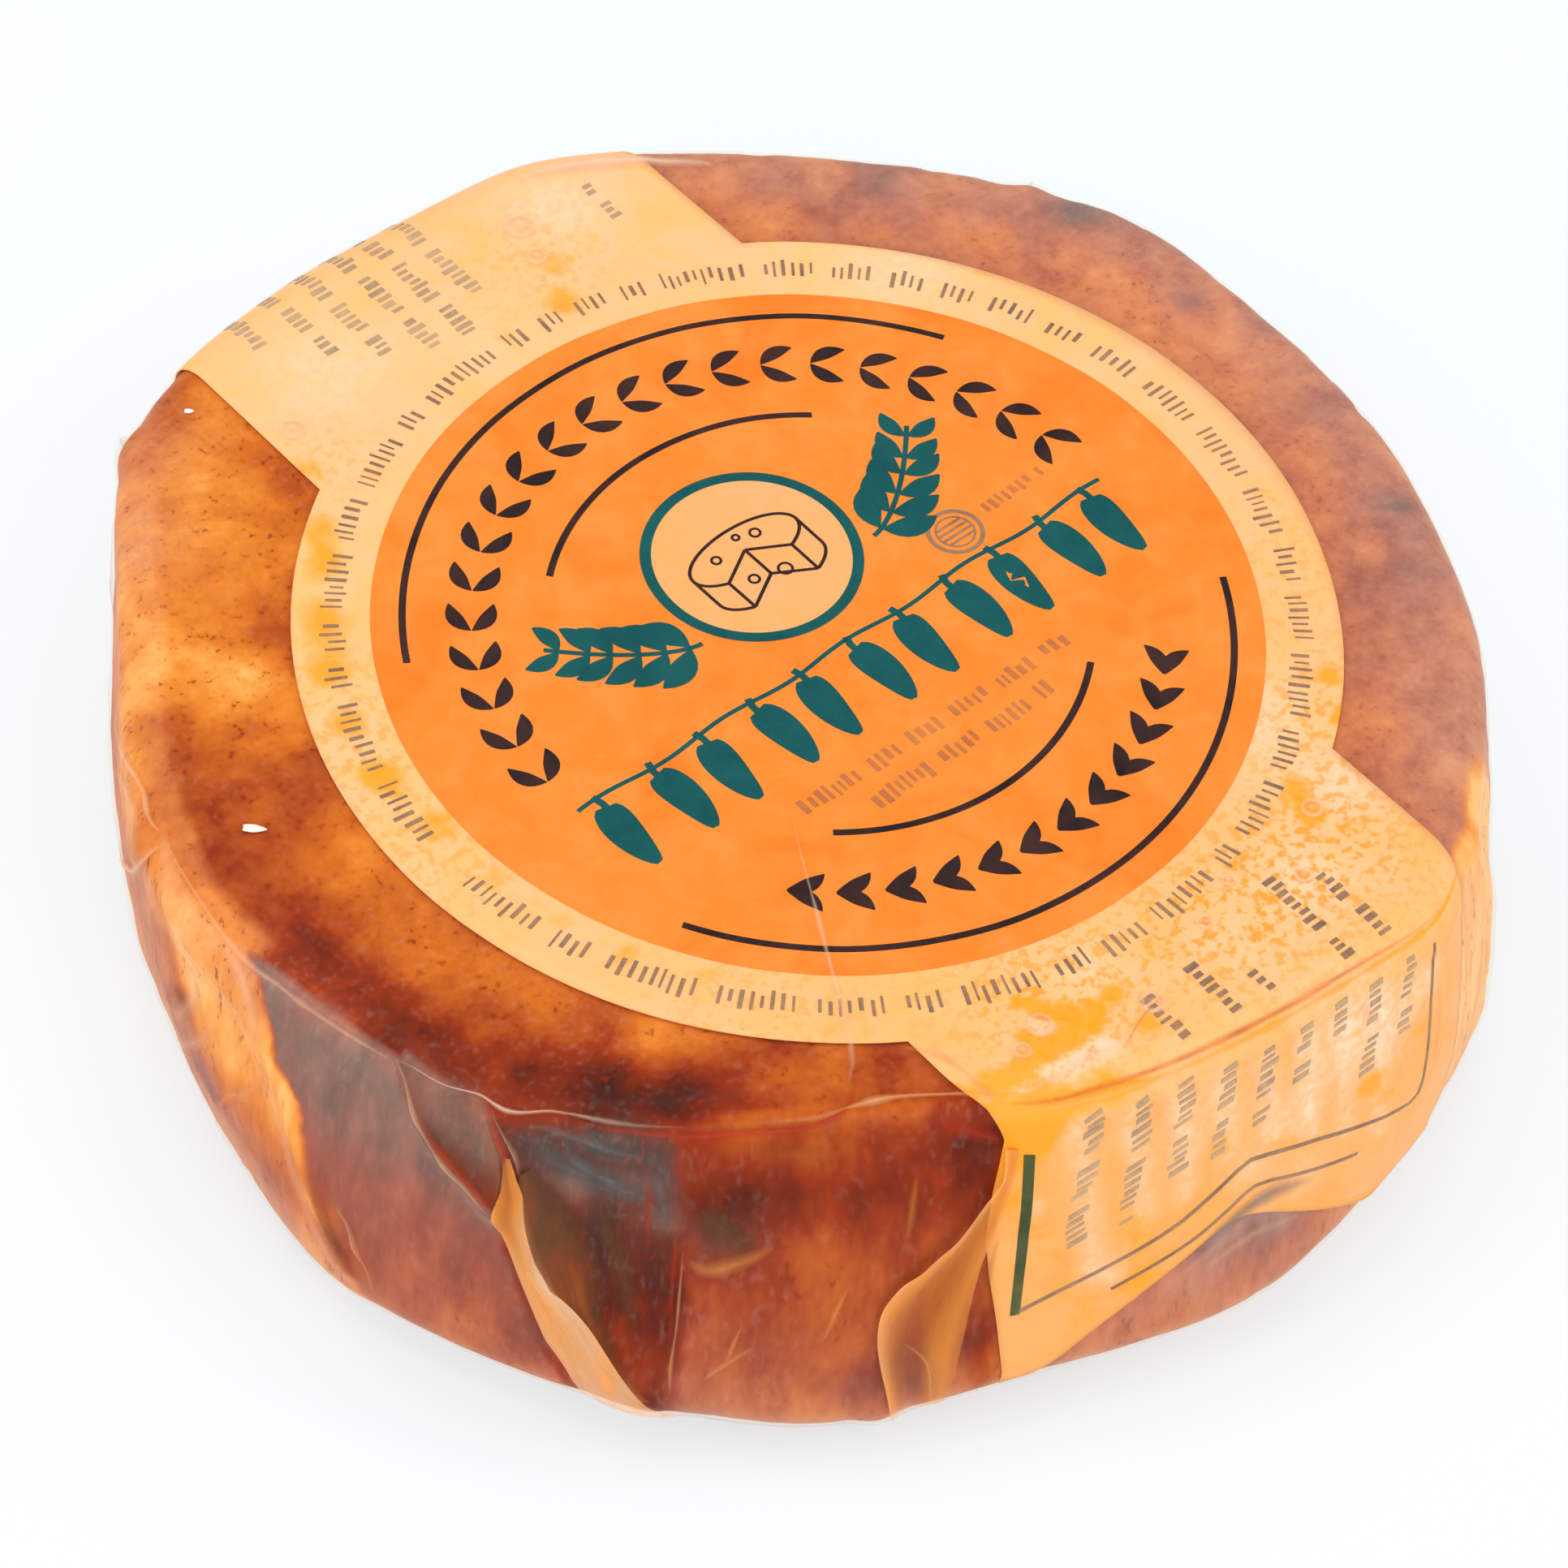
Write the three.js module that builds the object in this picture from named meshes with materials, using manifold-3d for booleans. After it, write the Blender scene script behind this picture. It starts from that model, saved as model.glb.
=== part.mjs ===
// A small wheel of paprika-rind cheese, shrunk tight into a clear bag, with the paper label that lies on it.
// The label is a round face and a band that crosses the wheel and folds down its wall at both ends.
// Millimetres, +Z up. The label reads along +X, its band runs along Y, and the base stands on Z = 0.
import * as THREE from "three";
import { mergeVertices } from "three/addons/utils/BufferGeometryUtils.js";
import Module from "manifold-3d";

// Wheel
const wheelHeight = 35;
const topRounding = 4;
const baseRounding = 7;
const wallBulge = 1.5;
const topRadius = 61;
const baseRadius = 61.5;
const cornerSharpness = 40;
const meanRadius = 57;

// Flats pressed into the round by the bag: the way each one faces, in degrees, and its distance from the middle
const topFlats = [
  { faces: 358, reach: 55.5 },
  { faces: 38, reach: 56 },
  { faces: 56, reach: 57.5 },
  { faces: 90, reach: 58.5 },
  { faces: 148, reach: 55.5 },
  { faces: 191, reach: 55.5 },
  { faces: 237, reach: 48 },
  { faces: 262, reach: 51 },
  { faces: 307, reach: 55 },
  { faces: 336, reach: 55.5 },
];
const baseFlats = [
  { faces: 7, reach: 56 },
  { faces: 48, reach: 55.5 },
  { faces: 100, reach: 56 },
  { faces: 134, reach: 55.5 },
  { faces: 166, reach: 54.5 },
  { faces: 204, reach: 57.5 },
  { faces: 217, reach: 59 },
  { faces: 250, reach: 57.5 },
  { faces: 283, reach: 59.5 },
  { faces: 328, reach: 57 },
];

// Soft waves of the rind: how many go round, how they slant down the wall, and how high they stand
const waves = [
  { round: 3, slant: 0.09, rise: 0.35 },
  { round: 7, slant: -0.16, rise: 0.22 },
  { round: 12, slant: 0.23, rise: 0.14 },
];

// Folds of gathered film on the wall, each along a few points of [degrees round, height]
const filmFolds = [
  { line: [[203, 34], [205, 26], [210, 12.5], [220, 4]], halfWidth: 3.2, rise: 1.2 },
  { line: [[194, 34], [204, 26]], halfWidth: 2.4, rise: 0.7 },
  { line: [[244, 29], [236.5, 18.5], [235, 13], [236, 5]], halfWidth: 2.8, rise: 1.1 },
  { line: [[243, 26], [240, 15], [240, 5]], halfWidth: 5, rise: 0.6 },
  { line: [[164, 34], [179, 29.5], [184, 24], [191.5, 9]], halfWidth: 2.6, rise: 0.8 },
  { line: [[153, 19], [163, 33]], halfWidth: 2.6, rise: 0.7 },
  { line: [[300, 31], [305, 18], [303, 8]], halfWidth: 3, rise: 0.6 },
  { line: [[28, 32], [33, 8]], halfWidth: 3, rise: 0.7 },
  { line: [[121, 31], [113, 10]], halfWidth: 3, rise: 0.8 },
];

// Paper label
const labelRadius = 43;
const labelMiddle = [1, 0];
const bandHalfWidth = 23.2;
const bandStart = 34;
const labelLift = 0.35;
const labelThickness = 0.4;

// Lower edge of the band's two ends: its height at the peak, and how it falls away to the corners
const frontEdge = { peak: 16.6, peakAt: -1.8, tip: 2.5, fall: 0.72, lowest: 5.5 };
const backEdge = { peak: 24.5, peakAt: 1, tip: 14, fall: 0.3, lowest: 18 };

// Fineness of the solids
const turns = 144;
const topRows = 2;
const topRoundRows = 4;
const wallRows = 12;
const baseRoundRows = 5;
const bandColumns = 20;
const bandWallRows = 12;
const discSides = 120;

const rindColour = 0x9c4a1e;
const paperColour = 0xf7a65c;

const { degToRad, clamp, lerp } = THREE.MathUtils;
const highWall = wheelHeight - topRounding;
const wasm = await Module();
wasm.setup();

// Distance from the middle to a round pressed by flats: the smallest of them, with softened corners
function pressedRound(angle, radius, flats) {
  let sum = radius ** -cornerSharpness;
  for (const flat of flats) {
    const facing = Math.max(Math.cos(angle - degToRad(flat.faces)), 0.2);
    sum += (flat.reach / facing) ** -cornerSharpness;
  }
  return sum ** (-1 / cornerSharpness);
}

// Shortest distance, on the unrolled wall, from a point to a line of [degrees, height] points
function distanceToFold(angle, z, line) {
  let nearest = Infinity;
  for (let i = 1; i < line.length; i++) {
    const [startTurn, startHeight] = line[i - 1];
    const [endTurn, endHeight] = line[i];
    const along = degToRad(endTurn - startTurn) * meanRadius;
    const up = endHeight - startHeight;
    const fromStart = Math.atan2(Math.sin(angle - degToRad(startTurn)), Math.cos(angle - degToRad(startTurn)));
    const across = fromStart * meanRadius;
    const share = clamp((across * along + (z - startHeight) * up) / (along ** 2 + up ** 2), 0, 1);
    nearest = Math.min(nearest, Math.hypot(across - share * along, z - startHeight - share * up));
  }
  return nearest;
}

// How far the rind's waves and the film's folds stand out from the wall
function wallRelief(angle, z) {
  let relief = 0;
  for (const wave of waves) {
    relief += wave.rise * Math.sin(wave.round * angle + wave.slant * z + wave.round);
  }
  for (const fold of filmFolds) {
    const near = clamp(1 - distanceToFold(angle, z, fold.line) / fold.halfWidth, 0, 1);
    relief += fold.rise * near * near * (3 - 2 * near);
  }
  return relief;
}

// Radius of the straight part of the wall at a height, from the top's outline to the base's
function wallRadius(angle, z) {
  const down = 1 - z / wheelHeight;
  const top = pressedRound(angle, topRadius, topFlats);
  const base = pressedRound(angle, baseRadius, baseFlats);
  return lerp(top, base, down) + wallBulge * 4 * down * (1 - down) + wallRelief(angle, z);
}

// Radius of the whole outline at a height, with its rounded rims, for a skin that lies a lift outside the wheel
function outlineRadius(angle, z, lift = 0) {
  const wall = wallRadius(angle, clamp(z, baseRounding, highWall));
  if (z > highWall) {
    const round = topRounding + lift;
    return wall - topRounding + Math.sqrt(Math.max(round ** 2 - (z - highWall) ** 2, 0));
  }
  if (z < baseRounding) {
    const round = baseRounding + lift;
    return wall - baseRounding + Math.sqrt(Math.max(round ** 2 - (baseRounding - z) ** 2, 0));
  }
  return wall + lift;
}

// Heights of the rows from the top's rim down to the base's, closer together on the rounded rims
function rimToBaseHeights() {
  const heights = [];
  for (let i = 0; i < topRoundRows; i++) {
    heights.push(highWall + topRounding * Math.cos((i / topRoundRows) * Math.PI / 2));
  }
  for (let i = 0; i < wallRows; i++) {
    heights.push(lerp(highWall, baseRounding, i / wallRows));
  }
  for (let i = 0; i <= baseRoundRows; i++) {
    heights.push(baseRounding * (1 - Math.sin((i / baseRoundRows) * Math.PI / 2)));
  }
  return heights;
}

function solidOf(geometry) {
  geometry.deleteAttribute("normal");
  geometry.deleteAttribute("uv");
  const merged = mergeVertices(geometry, 1e-4);
  return new wasm.Manifold(
    new wasm.Mesh({
      numProp: 3,
      vertProperties: merged.attributes.position.array,
      triVerts: new Uint32Array(merged.index.array),
    }),
  );
}

function geometryOf(solid) {
  const { vertProperties, triVerts } = solid.getMesh();
  const geometry = new THREE.BufferGeometry();
  geometry.setAttribute("position", new THREE.BufferAttribute(vertProperties, 3));
  geometry.setIndex(new THREE.BufferAttribute(triVerts, 1));
  geometry.computeVertexNormals();
  return geometry;
}

// The wheel: a sphere's grid of turns and rows, with each row moved to its height on the wheel's section
function makeWheel() {
  const heights = rimToBaseHeights();
  const rows = topRows + heights.length;
  const geometry = new THREE.SphereGeometry(1, turns, rows);
  const { position, uv } = geometry.attributes;
  for (let i = 0; i < position.count; i++) {
    const angle = uv.getX(i) * 2 * Math.PI;
    const row = Math.round((1 - uv.getY(i)) * rows);
    const last = heights.length - 1;
    const z = heights[clamp(row - topRows, 0, last)];
    const flatShare = row < topRows ? row / topRows : row === rows ? 0 : 1;
    const radius = outlineRadius(angle, z) * flatShare;
    position.setXYZ(i, radius * Math.cos(angle), radius * Math.sin(angle), z);
  }
  return solidOf(geometry);
}

// Height of the band's lower edge, a rounded peak that falls to both corners
function edgeHeight(x, edge) {
  const slope = edge.fall * (Math.hypot(x - edge.peakAt, edge.tip) - edge.tip);
  return Math.max(edge.peak - slope, edge.lowest);
}

// Point of the band x across the wheel at a height on the wall: the angle is walked in until it meets x
function bandPoint(x, z, side, lift) {
  let y = side * meanRadius;
  for (let step = 0; step < 12; step++) {
    const radius = outlineRadius(Math.atan2(y, x), z, lift);
    y = side * Math.sqrt(radius ** 2 - x ** 2);
  }
  return new THREE.Vector3(x, y, z);
}

// One end of the band: a box's grid laid from under the round face, over the rim and down to the lower edge
function makeBandEnd(side, edge) {
  const rows = 1 + topRoundRows + bandWallRows;
  const geometry = new THREE.BoxGeometry(1, 1, 1, bandColumns, rows, 1);
  const { position } = geometry.attributes;
  for (let i = 0; i < position.count; i++) {
    const x = labelMiddle[0] - side * position.getX(i) * 2 * bandHalfWidth;
    const row = Math.round((0.5 - position.getY(i)) * rows);
    const lift = labelLift + (position.getZ(i) > 0 ? labelThickness : 0);
    const round = topRounding + lift;
    let point = new THREE.Vector3(x, labelMiddle[1] + side * bandStart, wheelHeight + lift);
    if (row > topRoundRows + 1) {
      const share = (row - 1 - topRoundRows) / bandWallRows;
      point = bandPoint(x, lerp(highWall, edgeHeight(x, edge), share), side, lift);
    } else if (row > 0) {
      const turn = ((row - 1) / topRoundRows) * Math.PI / 2;
      point = bandPoint(x, highWall + round * Math.cos(turn), side, lift);
    }
    position.setXYZ(i, point.x, point.y, point.z);
  }
  return solidOf(geometry);
}

function makeLabel() {
  const face = new THREE.CylinderGeometry(labelRadius, labelRadius, labelThickness, discSides);
  face.rotateX(Math.PI / 2);
  face.translate(labelMiddle[0], labelMiddle[1], wheelHeight + labelLift + labelThickness / 2);
  return solidOf(face).add(makeBandEnd(-1, frontEdge)).add(makeBandEnd(1, backEdge));
}

function named(name, solid, color, roughness) {
  const material = new THREE.MeshStandardMaterial({ color, roughness, metalness: 0 });
  const mesh = new THREE.Mesh(geometryOf(solid), material);
  mesh.name = name;
  return mesh;
}

const cheese = new THREE.Group();
cheese.add(named("sealed_wheel", makeWheel(), rindColour, 0.3));
cheese.add(named("paper_label", makeLabel(), paperColour, 0.5));

// The origin is the middle of the footprint's box
const middle = new THREE.Box3().setFromObject(cheese).getCenter(new THREE.Vector3());
cheese.position.set(-middle.x, -middle.y, 0);

export default cheese;
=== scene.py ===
# A small round cheese with a paprika rind, shrunk into clear film over a paper label with a folded band.
import math

import bmesh
import bpy
import numpy as np
from mathutils import Matrix, Vector


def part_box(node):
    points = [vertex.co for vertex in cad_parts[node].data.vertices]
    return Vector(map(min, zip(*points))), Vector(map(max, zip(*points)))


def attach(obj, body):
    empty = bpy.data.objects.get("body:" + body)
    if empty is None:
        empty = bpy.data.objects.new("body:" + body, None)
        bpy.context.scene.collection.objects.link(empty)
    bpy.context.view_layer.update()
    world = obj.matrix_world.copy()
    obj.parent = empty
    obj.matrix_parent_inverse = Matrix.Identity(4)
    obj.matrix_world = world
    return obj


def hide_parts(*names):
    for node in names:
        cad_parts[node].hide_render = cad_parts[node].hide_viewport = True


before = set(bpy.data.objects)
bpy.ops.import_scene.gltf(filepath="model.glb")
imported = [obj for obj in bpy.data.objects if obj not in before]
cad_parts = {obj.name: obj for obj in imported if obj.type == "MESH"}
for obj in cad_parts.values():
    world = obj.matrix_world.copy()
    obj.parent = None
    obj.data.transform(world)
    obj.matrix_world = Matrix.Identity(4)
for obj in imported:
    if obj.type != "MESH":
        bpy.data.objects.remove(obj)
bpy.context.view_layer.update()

# The wheel's section and outline, in millimetres and degrees. Flats are (way it faces, distance from the
# middle), waves (how many go round, slant down the wall, rise), folds (line of degrees and height, half
# width, rise).
wheel = {
    "height": 35,
    "topRounding": 4,
    "baseRounding": 7,
    "wallBulge": 1.5,
    "topRadius": 61,
    "baseRadius": 61.5,
    "cornerSharpness": 40,
    "meanRadius": 57,
    "topFlats": [
        (358, 55.5), (38, 56), (56, 57.5), (90, 58.5), (148, 55.5), (191, 55.5), (237, 48), (262, 51),
        (307, 55), (336, 55.5)],
    "baseFlats": [
        (7, 56), (48, 55.5), (100, 56), (134, 55.5), (166, 54.5), (204, 57.5), (217, 59), (250, 57.5),
        (283, 59.5), (328, 57)],
    "leastCosine": 0.2,
    "waves": [(3, 0.09, 0.35), (7, -0.16, 0.22), (12, 0.23, 0.14)],
    "folds": [([(203, 34), (205, 26), (210, 12.5), (220, 4)], 3.2, 0.7), ([(194, 34), (204, 26)], 2.4, 0.5),
              ([(244, 29), (236.5, 18.5), (235, 13), (236, 5)], 2.8, 0.7),
              ([(164, 34), (179, 29.5), (184, 24), (191.5, 9)], 2.6, 0.6), ([(153, 19), (163, 33)], 2.6, 0.5),
              ([(300, 31), (305, 18), (303, 8)], 3, 0.6), ([(28, 32), (33, 8)], 3, 0.7),
              ([(121, 31), (113, 10)], 3, 0.8)],
    # swells that every layer follows, as (rise, size, shift), and how far from the end of the run they fade
    "swells": [(0.16, 15, 0), (0.07, 6, 5.3)],
    "swellFade": (1, 9),
    "outlineGrid": (60, 720),
}
highWall = wheel["height"] - wheel["topRounding"]
topArc = wheel["topRounding"] * math.pi / 2
baseArc = wheel["baseRounding"] * math.pi / 2
wallLength = highWall - wheel["baseRounding"]
wholeRun = topArc + wallLength + baseArc
degreeLength = math.radians(1) * wheel["meanRadius"]

# Lifts of the layers outside the wheel's own surface
lifts = {"rind": -0.35, "paper": 0.0, "print": 0.035, "film": -0.16, "filmOnPaper": 0.12}


# From 0 at low to 1 at high: three times the share's square less twice its cube
def smoothStep(low, high, value):
    share = np.clip((value - low) / (high - low), 0, 1)
    return share * share * (3 - 2 * share)


lattice = np.random.default_rng(11).uniform(-1, 1, (32, 32, 32))


# Soft lumps: the lattice's values round a point, blended by the smoothed distances to its eight corners
def softNoise(points, size, shift):
    place = points / size + shift
    corner = np.floor(place).astype(int)
    share = place - corner
    share = share * share * (3 - 2 * share)
    total = np.zeros(points.shape[:-1])
    for step in np.ndindex(2, 2, 2):
        index = [(corner[..., axis] + step[axis]) % len(lattice) for axis in range(3)]
        weights = [share[..., axis] if step[axis] else 1 - share[..., axis] for axis in range(3)]
        total += lattice[index[0], index[1], index[2]] * weights[0] * weights[1] * weights[2]
    return total


# Several soft noises added up, each given as (rise, size, shift)
def noiseSum(points, layers):
    return sum(rise * softNoise(points, size, shift) for rise, size, shift in layers)


# A round pressed by flats: the smallest of all distances, softened by adding high negative powers of them
def pressedRound(angle, radius, flats):
    power = -wheel["cornerSharpness"]
    total = np.full(np.shape(angle), radius ** power)
    for faces, reach in flats:
        facing = np.maximum(np.cos(angle - math.radians(faces)), wheel["leastCosine"])
        total = total + (reach / facing) ** power
    return total ** (1 / power)


# Distance on the unrolled wall from a point to a line of (degrees, height): the least over its stretches
def foldDistance(angle, z, line):
    nearest = np.full(np.shape(angle), np.inf)
    for (startTurn, startHeight), (endTurn, endHeight) in zip(line, line[1:]):
        start = math.radians(startTurn)
        across = np.arctan2(np.sin(angle - start), np.cos(angle - start)) * wheel["meanRadius"]
        along = math.radians(endTurn - startTurn) * wheel["meanRadius"]
        up = endHeight - startHeight
        share = np.clip((across * along + (z - startHeight) * up) / (along ** 2 + up ** 2), 0, 1)
        nearest = np.minimum(nearest, np.hypot(across - share * along, z - startHeight - share * up))
    return nearest


# The wall's radius at a height: top and base outlines mixed, a parabola's bulge, sine waves and smooth folds
def wallRadius(angle, z, folded=0.0):
    down = 1 - z / wheel["height"]
    top = pressedRound(angle, wheel["topRadius"], wheel["topFlats"])
    base = pressedRound(angle, wheel["baseRadius"], wheel["baseFlats"])
    radius = top + (base - top) * down + wheel["wallBulge"] * 4 * down * (1 - down)
    for count, slant, rise in wheel["waves"]:
        radius = radius + rise * np.sin(count * angle + slant * z + count)
    if folded:
        for line, halfWidth, rise in wheel["folds"]:
            radius = radius + folded * rise * smoothStep(0, 1, 1 - foldDistance(angle, z, line) / halfWidth)
    return radius


# A point of a skin that lies a lift outside the wheel. run is the way along the section, 0 where the rim
# starts to bend: flat over the top, a quarter circle, the wall, a wider quarter circle, flat under the base.
def skinPoint(angle, run, lift=0.0, folded=0.0):
    angle, run, lift = np.broadcast_arrays(angle, run, lift)
    z = highWall - np.clip(run - topArc, 0, wallLength)
    topTurn = np.clip(run / wheel["topRounding"], 0, math.pi / 2)
    baseTurn = np.clip((run - topArc - wallLength) / wheel["baseRounding"], 0, math.pi / 2)
    radius = wallRadius(angle, z, folded) + lift * np.sin(topTurn) * np.cos(baseTurn)
    radius = radius - wheel["topRounding"] * (1 - np.sin(topTurn))
    radius = radius - wheel["baseRounding"] * (1 - np.cos(baseTurn))
    radius = radius + np.minimum(run, 0) - np.maximum(run - wholeRun, 0)
    z = z + (wheel["topRounding"] + lift) * np.cos(topTurn)
    z = z - (wheel["baseRounding"] + np.minimum(lift, 0)) * np.sin(baseTurn)
    return np.stack([radius * np.cos(angle), radius * np.sin(angle), z], axis=-1)


# A point of a layer: the skin at its lift, and the swells that keep rind, paper and film in order
def layerPoint(angle, run, lift, folded=0.0):
    near, far = wheel["swellFade"]
    rise = noiseSum(skinPoint(angle, run), wheel["swells"]) * smoothStep(wholeRun - near, wholeRun - far, run)
    return skinPoint(angle, run, lift + rise, folded)


# The frame's origin is the middle of the wheel's box, which the outline's own middle is matched to
outlineAngles = np.linspace(0, 2 * math.pi, wheel["outlineGrid"][1], endpoint=False)
outlineRuns = np.linspace(0, wholeRun, wheel["outlineGrid"][0])[:, None]
outline = skinPoint(outlineAngles, outlineRuns, 0.0, 1.0)[..., :2].reshape(-1, 2)
ownMiddle = (outline.min(0) + outline.max(0)) / 2
lowCorner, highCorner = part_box("sealed_wheel")
boxMiddle = 1000 * np.array([(lowCorner[0] + highCorner[0]) / 2, (lowCorner[1] + highCorner[1]) / 2])
originShift = np.append(boxMiddle - ownMiddle, 0.0)


# Millimetres to metres, from the wheel's own axes to the frame's
def toMetres(points):
    return (np.asarray(points, float) + originShift) / 1000


# Quads of a grid, rows by columns; a wrapped one joins its last column to its first
def gridFaces(rows, columns, wrapped=False, first=0):
    index = np.arange(rows * columns).reshape(rows, columns) + first
    left = index if wrapped else index[:, :-1]
    right = np.roll(index, -1, axis=1) if wrapped else index[:, 1:]
    return np.stack([left[:-1], left[1:], right[1:], right[:-1]], axis=-1).reshape(-1, 4)


# Triangles from one middle point to a ring of points that runs anticlockwise as seen from outside
def fanFaces(middle, ring, turned=False):
    following = np.roll(ring, -1)
    pair = (following, ring) if turned else (ring, following)
    return np.stack([np.full(len(ring), middle), *pair], axis=-1)


# Grids of points, each rows by columns, as one list of points and the faces of each grid
def joinGrids(grids, wrapped=False):
    points, faceSets, first = [], [], 0
    for grid in grids:
        rows, columns = grid.shape[:2]
        points.append(grid.reshape(-1, grid.shape[-1]))
        faceSets.append(gridFaces(rows, columns, wrapped, first))
        first += rows * columns
    return np.concatenate(points), faceSets


# A new object in the scene that holds a mesh, a lamp or a camera
def addObject(name, data):
    holder = bpy.data.objects.new(name, data)
    bpy.context.scene.collection.objects.link(holder)
    return holder


# A smooth piece of the one body, with its faces in sets of one size each and its values as point attributes
def addPiece(name, points, faceSets, material, slot, values=None):
    mesh = bpy.data.meshes.new(name)
    corners = np.concatenate([faces.ravel() for faces in faceSets]).astype(np.int32)
    sizes = np.concatenate([np.full(len(faces), faces.shape[1]) for faces in faceSets])
    mesh.vertices.add(len(points))
    mesh.vertices.foreach_set("co", toMetres(points).astype(np.float32).ravel())
    mesh.loops.add(len(corners))
    mesh.loops.foreach_set("vertex_index", corners)
    mesh.polygons.add(len(sizes))
    mesh.polygons.foreach_set("loop_start", (np.cumsum(sizes) - sizes).astype(np.int32))
    mesh.polygons.foreach_set("use_smooth", np.full(len(sizes), True))
    for key, value in (values or {}).items():
        mesh.attributes.new(key, "FLOAT", "POINT").data.foreach_set("value", value.astype(np.float32).ravel())
    mesh.update(calc_edges=True)
    mesh.validate()
    mesh.materials.append(material)
    piece = addObject(name, mesh)
    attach(piece, "root")
    return piece


# Points that lie within a small distance of each other become one
def weld(piece, distance=0.004):
    work = bmesh.new()
    work.from_mesh(piece.data)
    bmesh.ops.remove_doubles(work, verts=work.verts, dist=distance / 1000)
    work.to_mesh(piece.data)
    work.free()


# Node helpers

# Each input of a node is linked to a socket or set to a plain value
def setInputs(tree, node, inputs):
    for key, value in inputs.items():
        if isinstance(value, bpy.types.NodeSocket):
            tree.links.new(value, node.inputs[key])
        else:
            node.inputs[key].default_value = value


# A new material with its node tree and its shader
def newMaterial(name):
    material = bpy.data.materials.new(name)
    material.use_nodes = True
    tree = material.node_tree
    return material, tree, tree.nodes["Principled BSDF"]


# A new node with its settings and its inputs set
def addNode(tree, kind, inputs, **settings):
    node = tree.nodes.new(kind)
    for key, value in settings.items():
        setattr(node, key, value)
    setInputs(tree, node, inputs)
    return node


# A colour with nothing see-through in it
def colourOf(red, green, blue):
    return (red, green, blue, 1.0)


# The mix node holds its share as input 0 and its two colours as inputs 6 and 7
def mixColours(tree, share, first, second):
    return addNode(tree, "ShaderNodeMix", {0: share, 6: first, 7: second}, data_type="RGBA").outputs[2]


# One sum of two or three values, by the operation's name
def calculate(tree, operation, first, second, third=0.0):
    return addNode(tree, "ShaderNodeMath", {0: first, 1: second, 2: third}, operation=operation).outputs[0]


# A colour ramp with stops as (place, colour), where a plain number stands for a grey
def ramp(tree, value, stops):
    node = addNode(tree, "ShaderNodeValToRGB", {0: value})
    while len(node.color_ramp.elements) < len(stops):
        node.color_ramp.elements.new(0.5)
    for element, (place, colour) in zip(node.color_ramp.elements, stops):
        element.position = place
        element.color = colour if isinstance(colour, tuple) else colourOf(colour, colour, colour)
    return node.outputs[0]


# A piece's own value at each point, by name
def readValue(tree, name):
    return addNode(tree, "ShaderNodeAttribute", {}, attribute_name=name).outputs["Fac"]


# Place in the object's own axes, with heights multiplied by the stretch
def objectPlace(tree, stretch=1.0):
    place = addNode(tree, "ShaderNodeTexCoord", {}).outputs["Object"]
    return addNode(tree, "ShaderNodeMapping", {"Vector": place, "Scale": (1.0, 1.0, stretch)}).outputs[0]


# A noise from 0 to 1 around 0.5
def noiseOf(tree, place, scale, detail, roughness=0.5, distortion=0.0):
    inputs = {"Vector": place, "Scale": scale, "Detail": detail, "Roughness": roughness,
              "Distortion": distortion}
    return addNode(tree, "ShaderNodeTexNoise", inputs).outputs[0]


# An empty group. Inputs are given as name and default, None for a place, outputs as name and kind of socket.
def newGroup(name, inputs, outputs):
    group = bpy.data.node_groups.new(name, "ShaderNodeTree")
    for key, value in inputs.items():
        kind = "NodeSocketVector" if value is None else "NodeSocketFloat"
        socket = group.interface.new_socket(key, in_out="INPUT", socket_type=kind)
        if value is not None:
            socket.default_value = value
    for key, kind in outputs.items():
        group.interface.new_socket(key, in_out="OUTPUT", socket_type=kind)
    return group, group.nodes.new("NodeGroupInput"), group.nodes.new("NodeGroupOutput")


# Blotches and fine dots that the rind, the paper, the ink and the film share, as masks from 0 to 1
def makeMottleGroup():
    group, given, result = newGroup("mottle", {"Place": None, "Blotch Scale": 90.0, "Dot Scale": 900.0},
                                    {"Blotch": "NodeSocketFloat", "Dots": "NodeSocketFloat"})
    place = given.outputs["Place"]
    blotch = noiseOf(group, place, given.outputs["Blotch Scale"], 4.0, 0.62, 0.6)
    dots = noiseOf(group, place, given.outputs["Dot Scale"], 2.0, 0.6)
    setInputs(group, result, {"Blotch": blotch, "Dots": dots})
    return group


# Fine unevenness of a surface, as a normal: two noises added and fed to a bump of a given strength
def makeGrainGroup():
    inputs = {"Place": None, "Coarse Scale": 500.0, "Fine Scale": 2500.0, "Strength": 0.3, "Depth": 0.0002}
    group, given, result = newGroup("surfaceGrain", inputs, {"Normal": "NodeSocketVector"})
    place = given.outputs["Place"]
    coarse = noiseOf(group, place, given.outputs["Coarse Scale"], 2.0)
    fine = noiseOf(group, place, given.outputs["Fine Scale"], 1.0)
    height = calculate(group, "MULTIPLY_ADD", fine, 0.4, coarse)
    bump = addNode(group, "ShaderNodeBump", {"Strength": given.outputs["Strength"],
                                             "Distance": given.outputs["Depth"], "Height": height})
    setInputs(group, result, {"Normal": bump.outputs[0]})
    return group


mottleGroup = makeMottleGroup()
grainGroup = makeGrainGroup()


# The shared mottle at a place, as its two masks
def mottleOf(tree, place, blotchScale, dotScale):
    inputs = {"Place": place, "Blotch Scale": blotchScale, "Dot Scale": dotScale}
    outputs = addNode(tree, "ShaderNodeGroup", inputs, node_tree=mottleGroup).outputs
    return outputs["Blotch"], outputs["Dots"]


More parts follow.
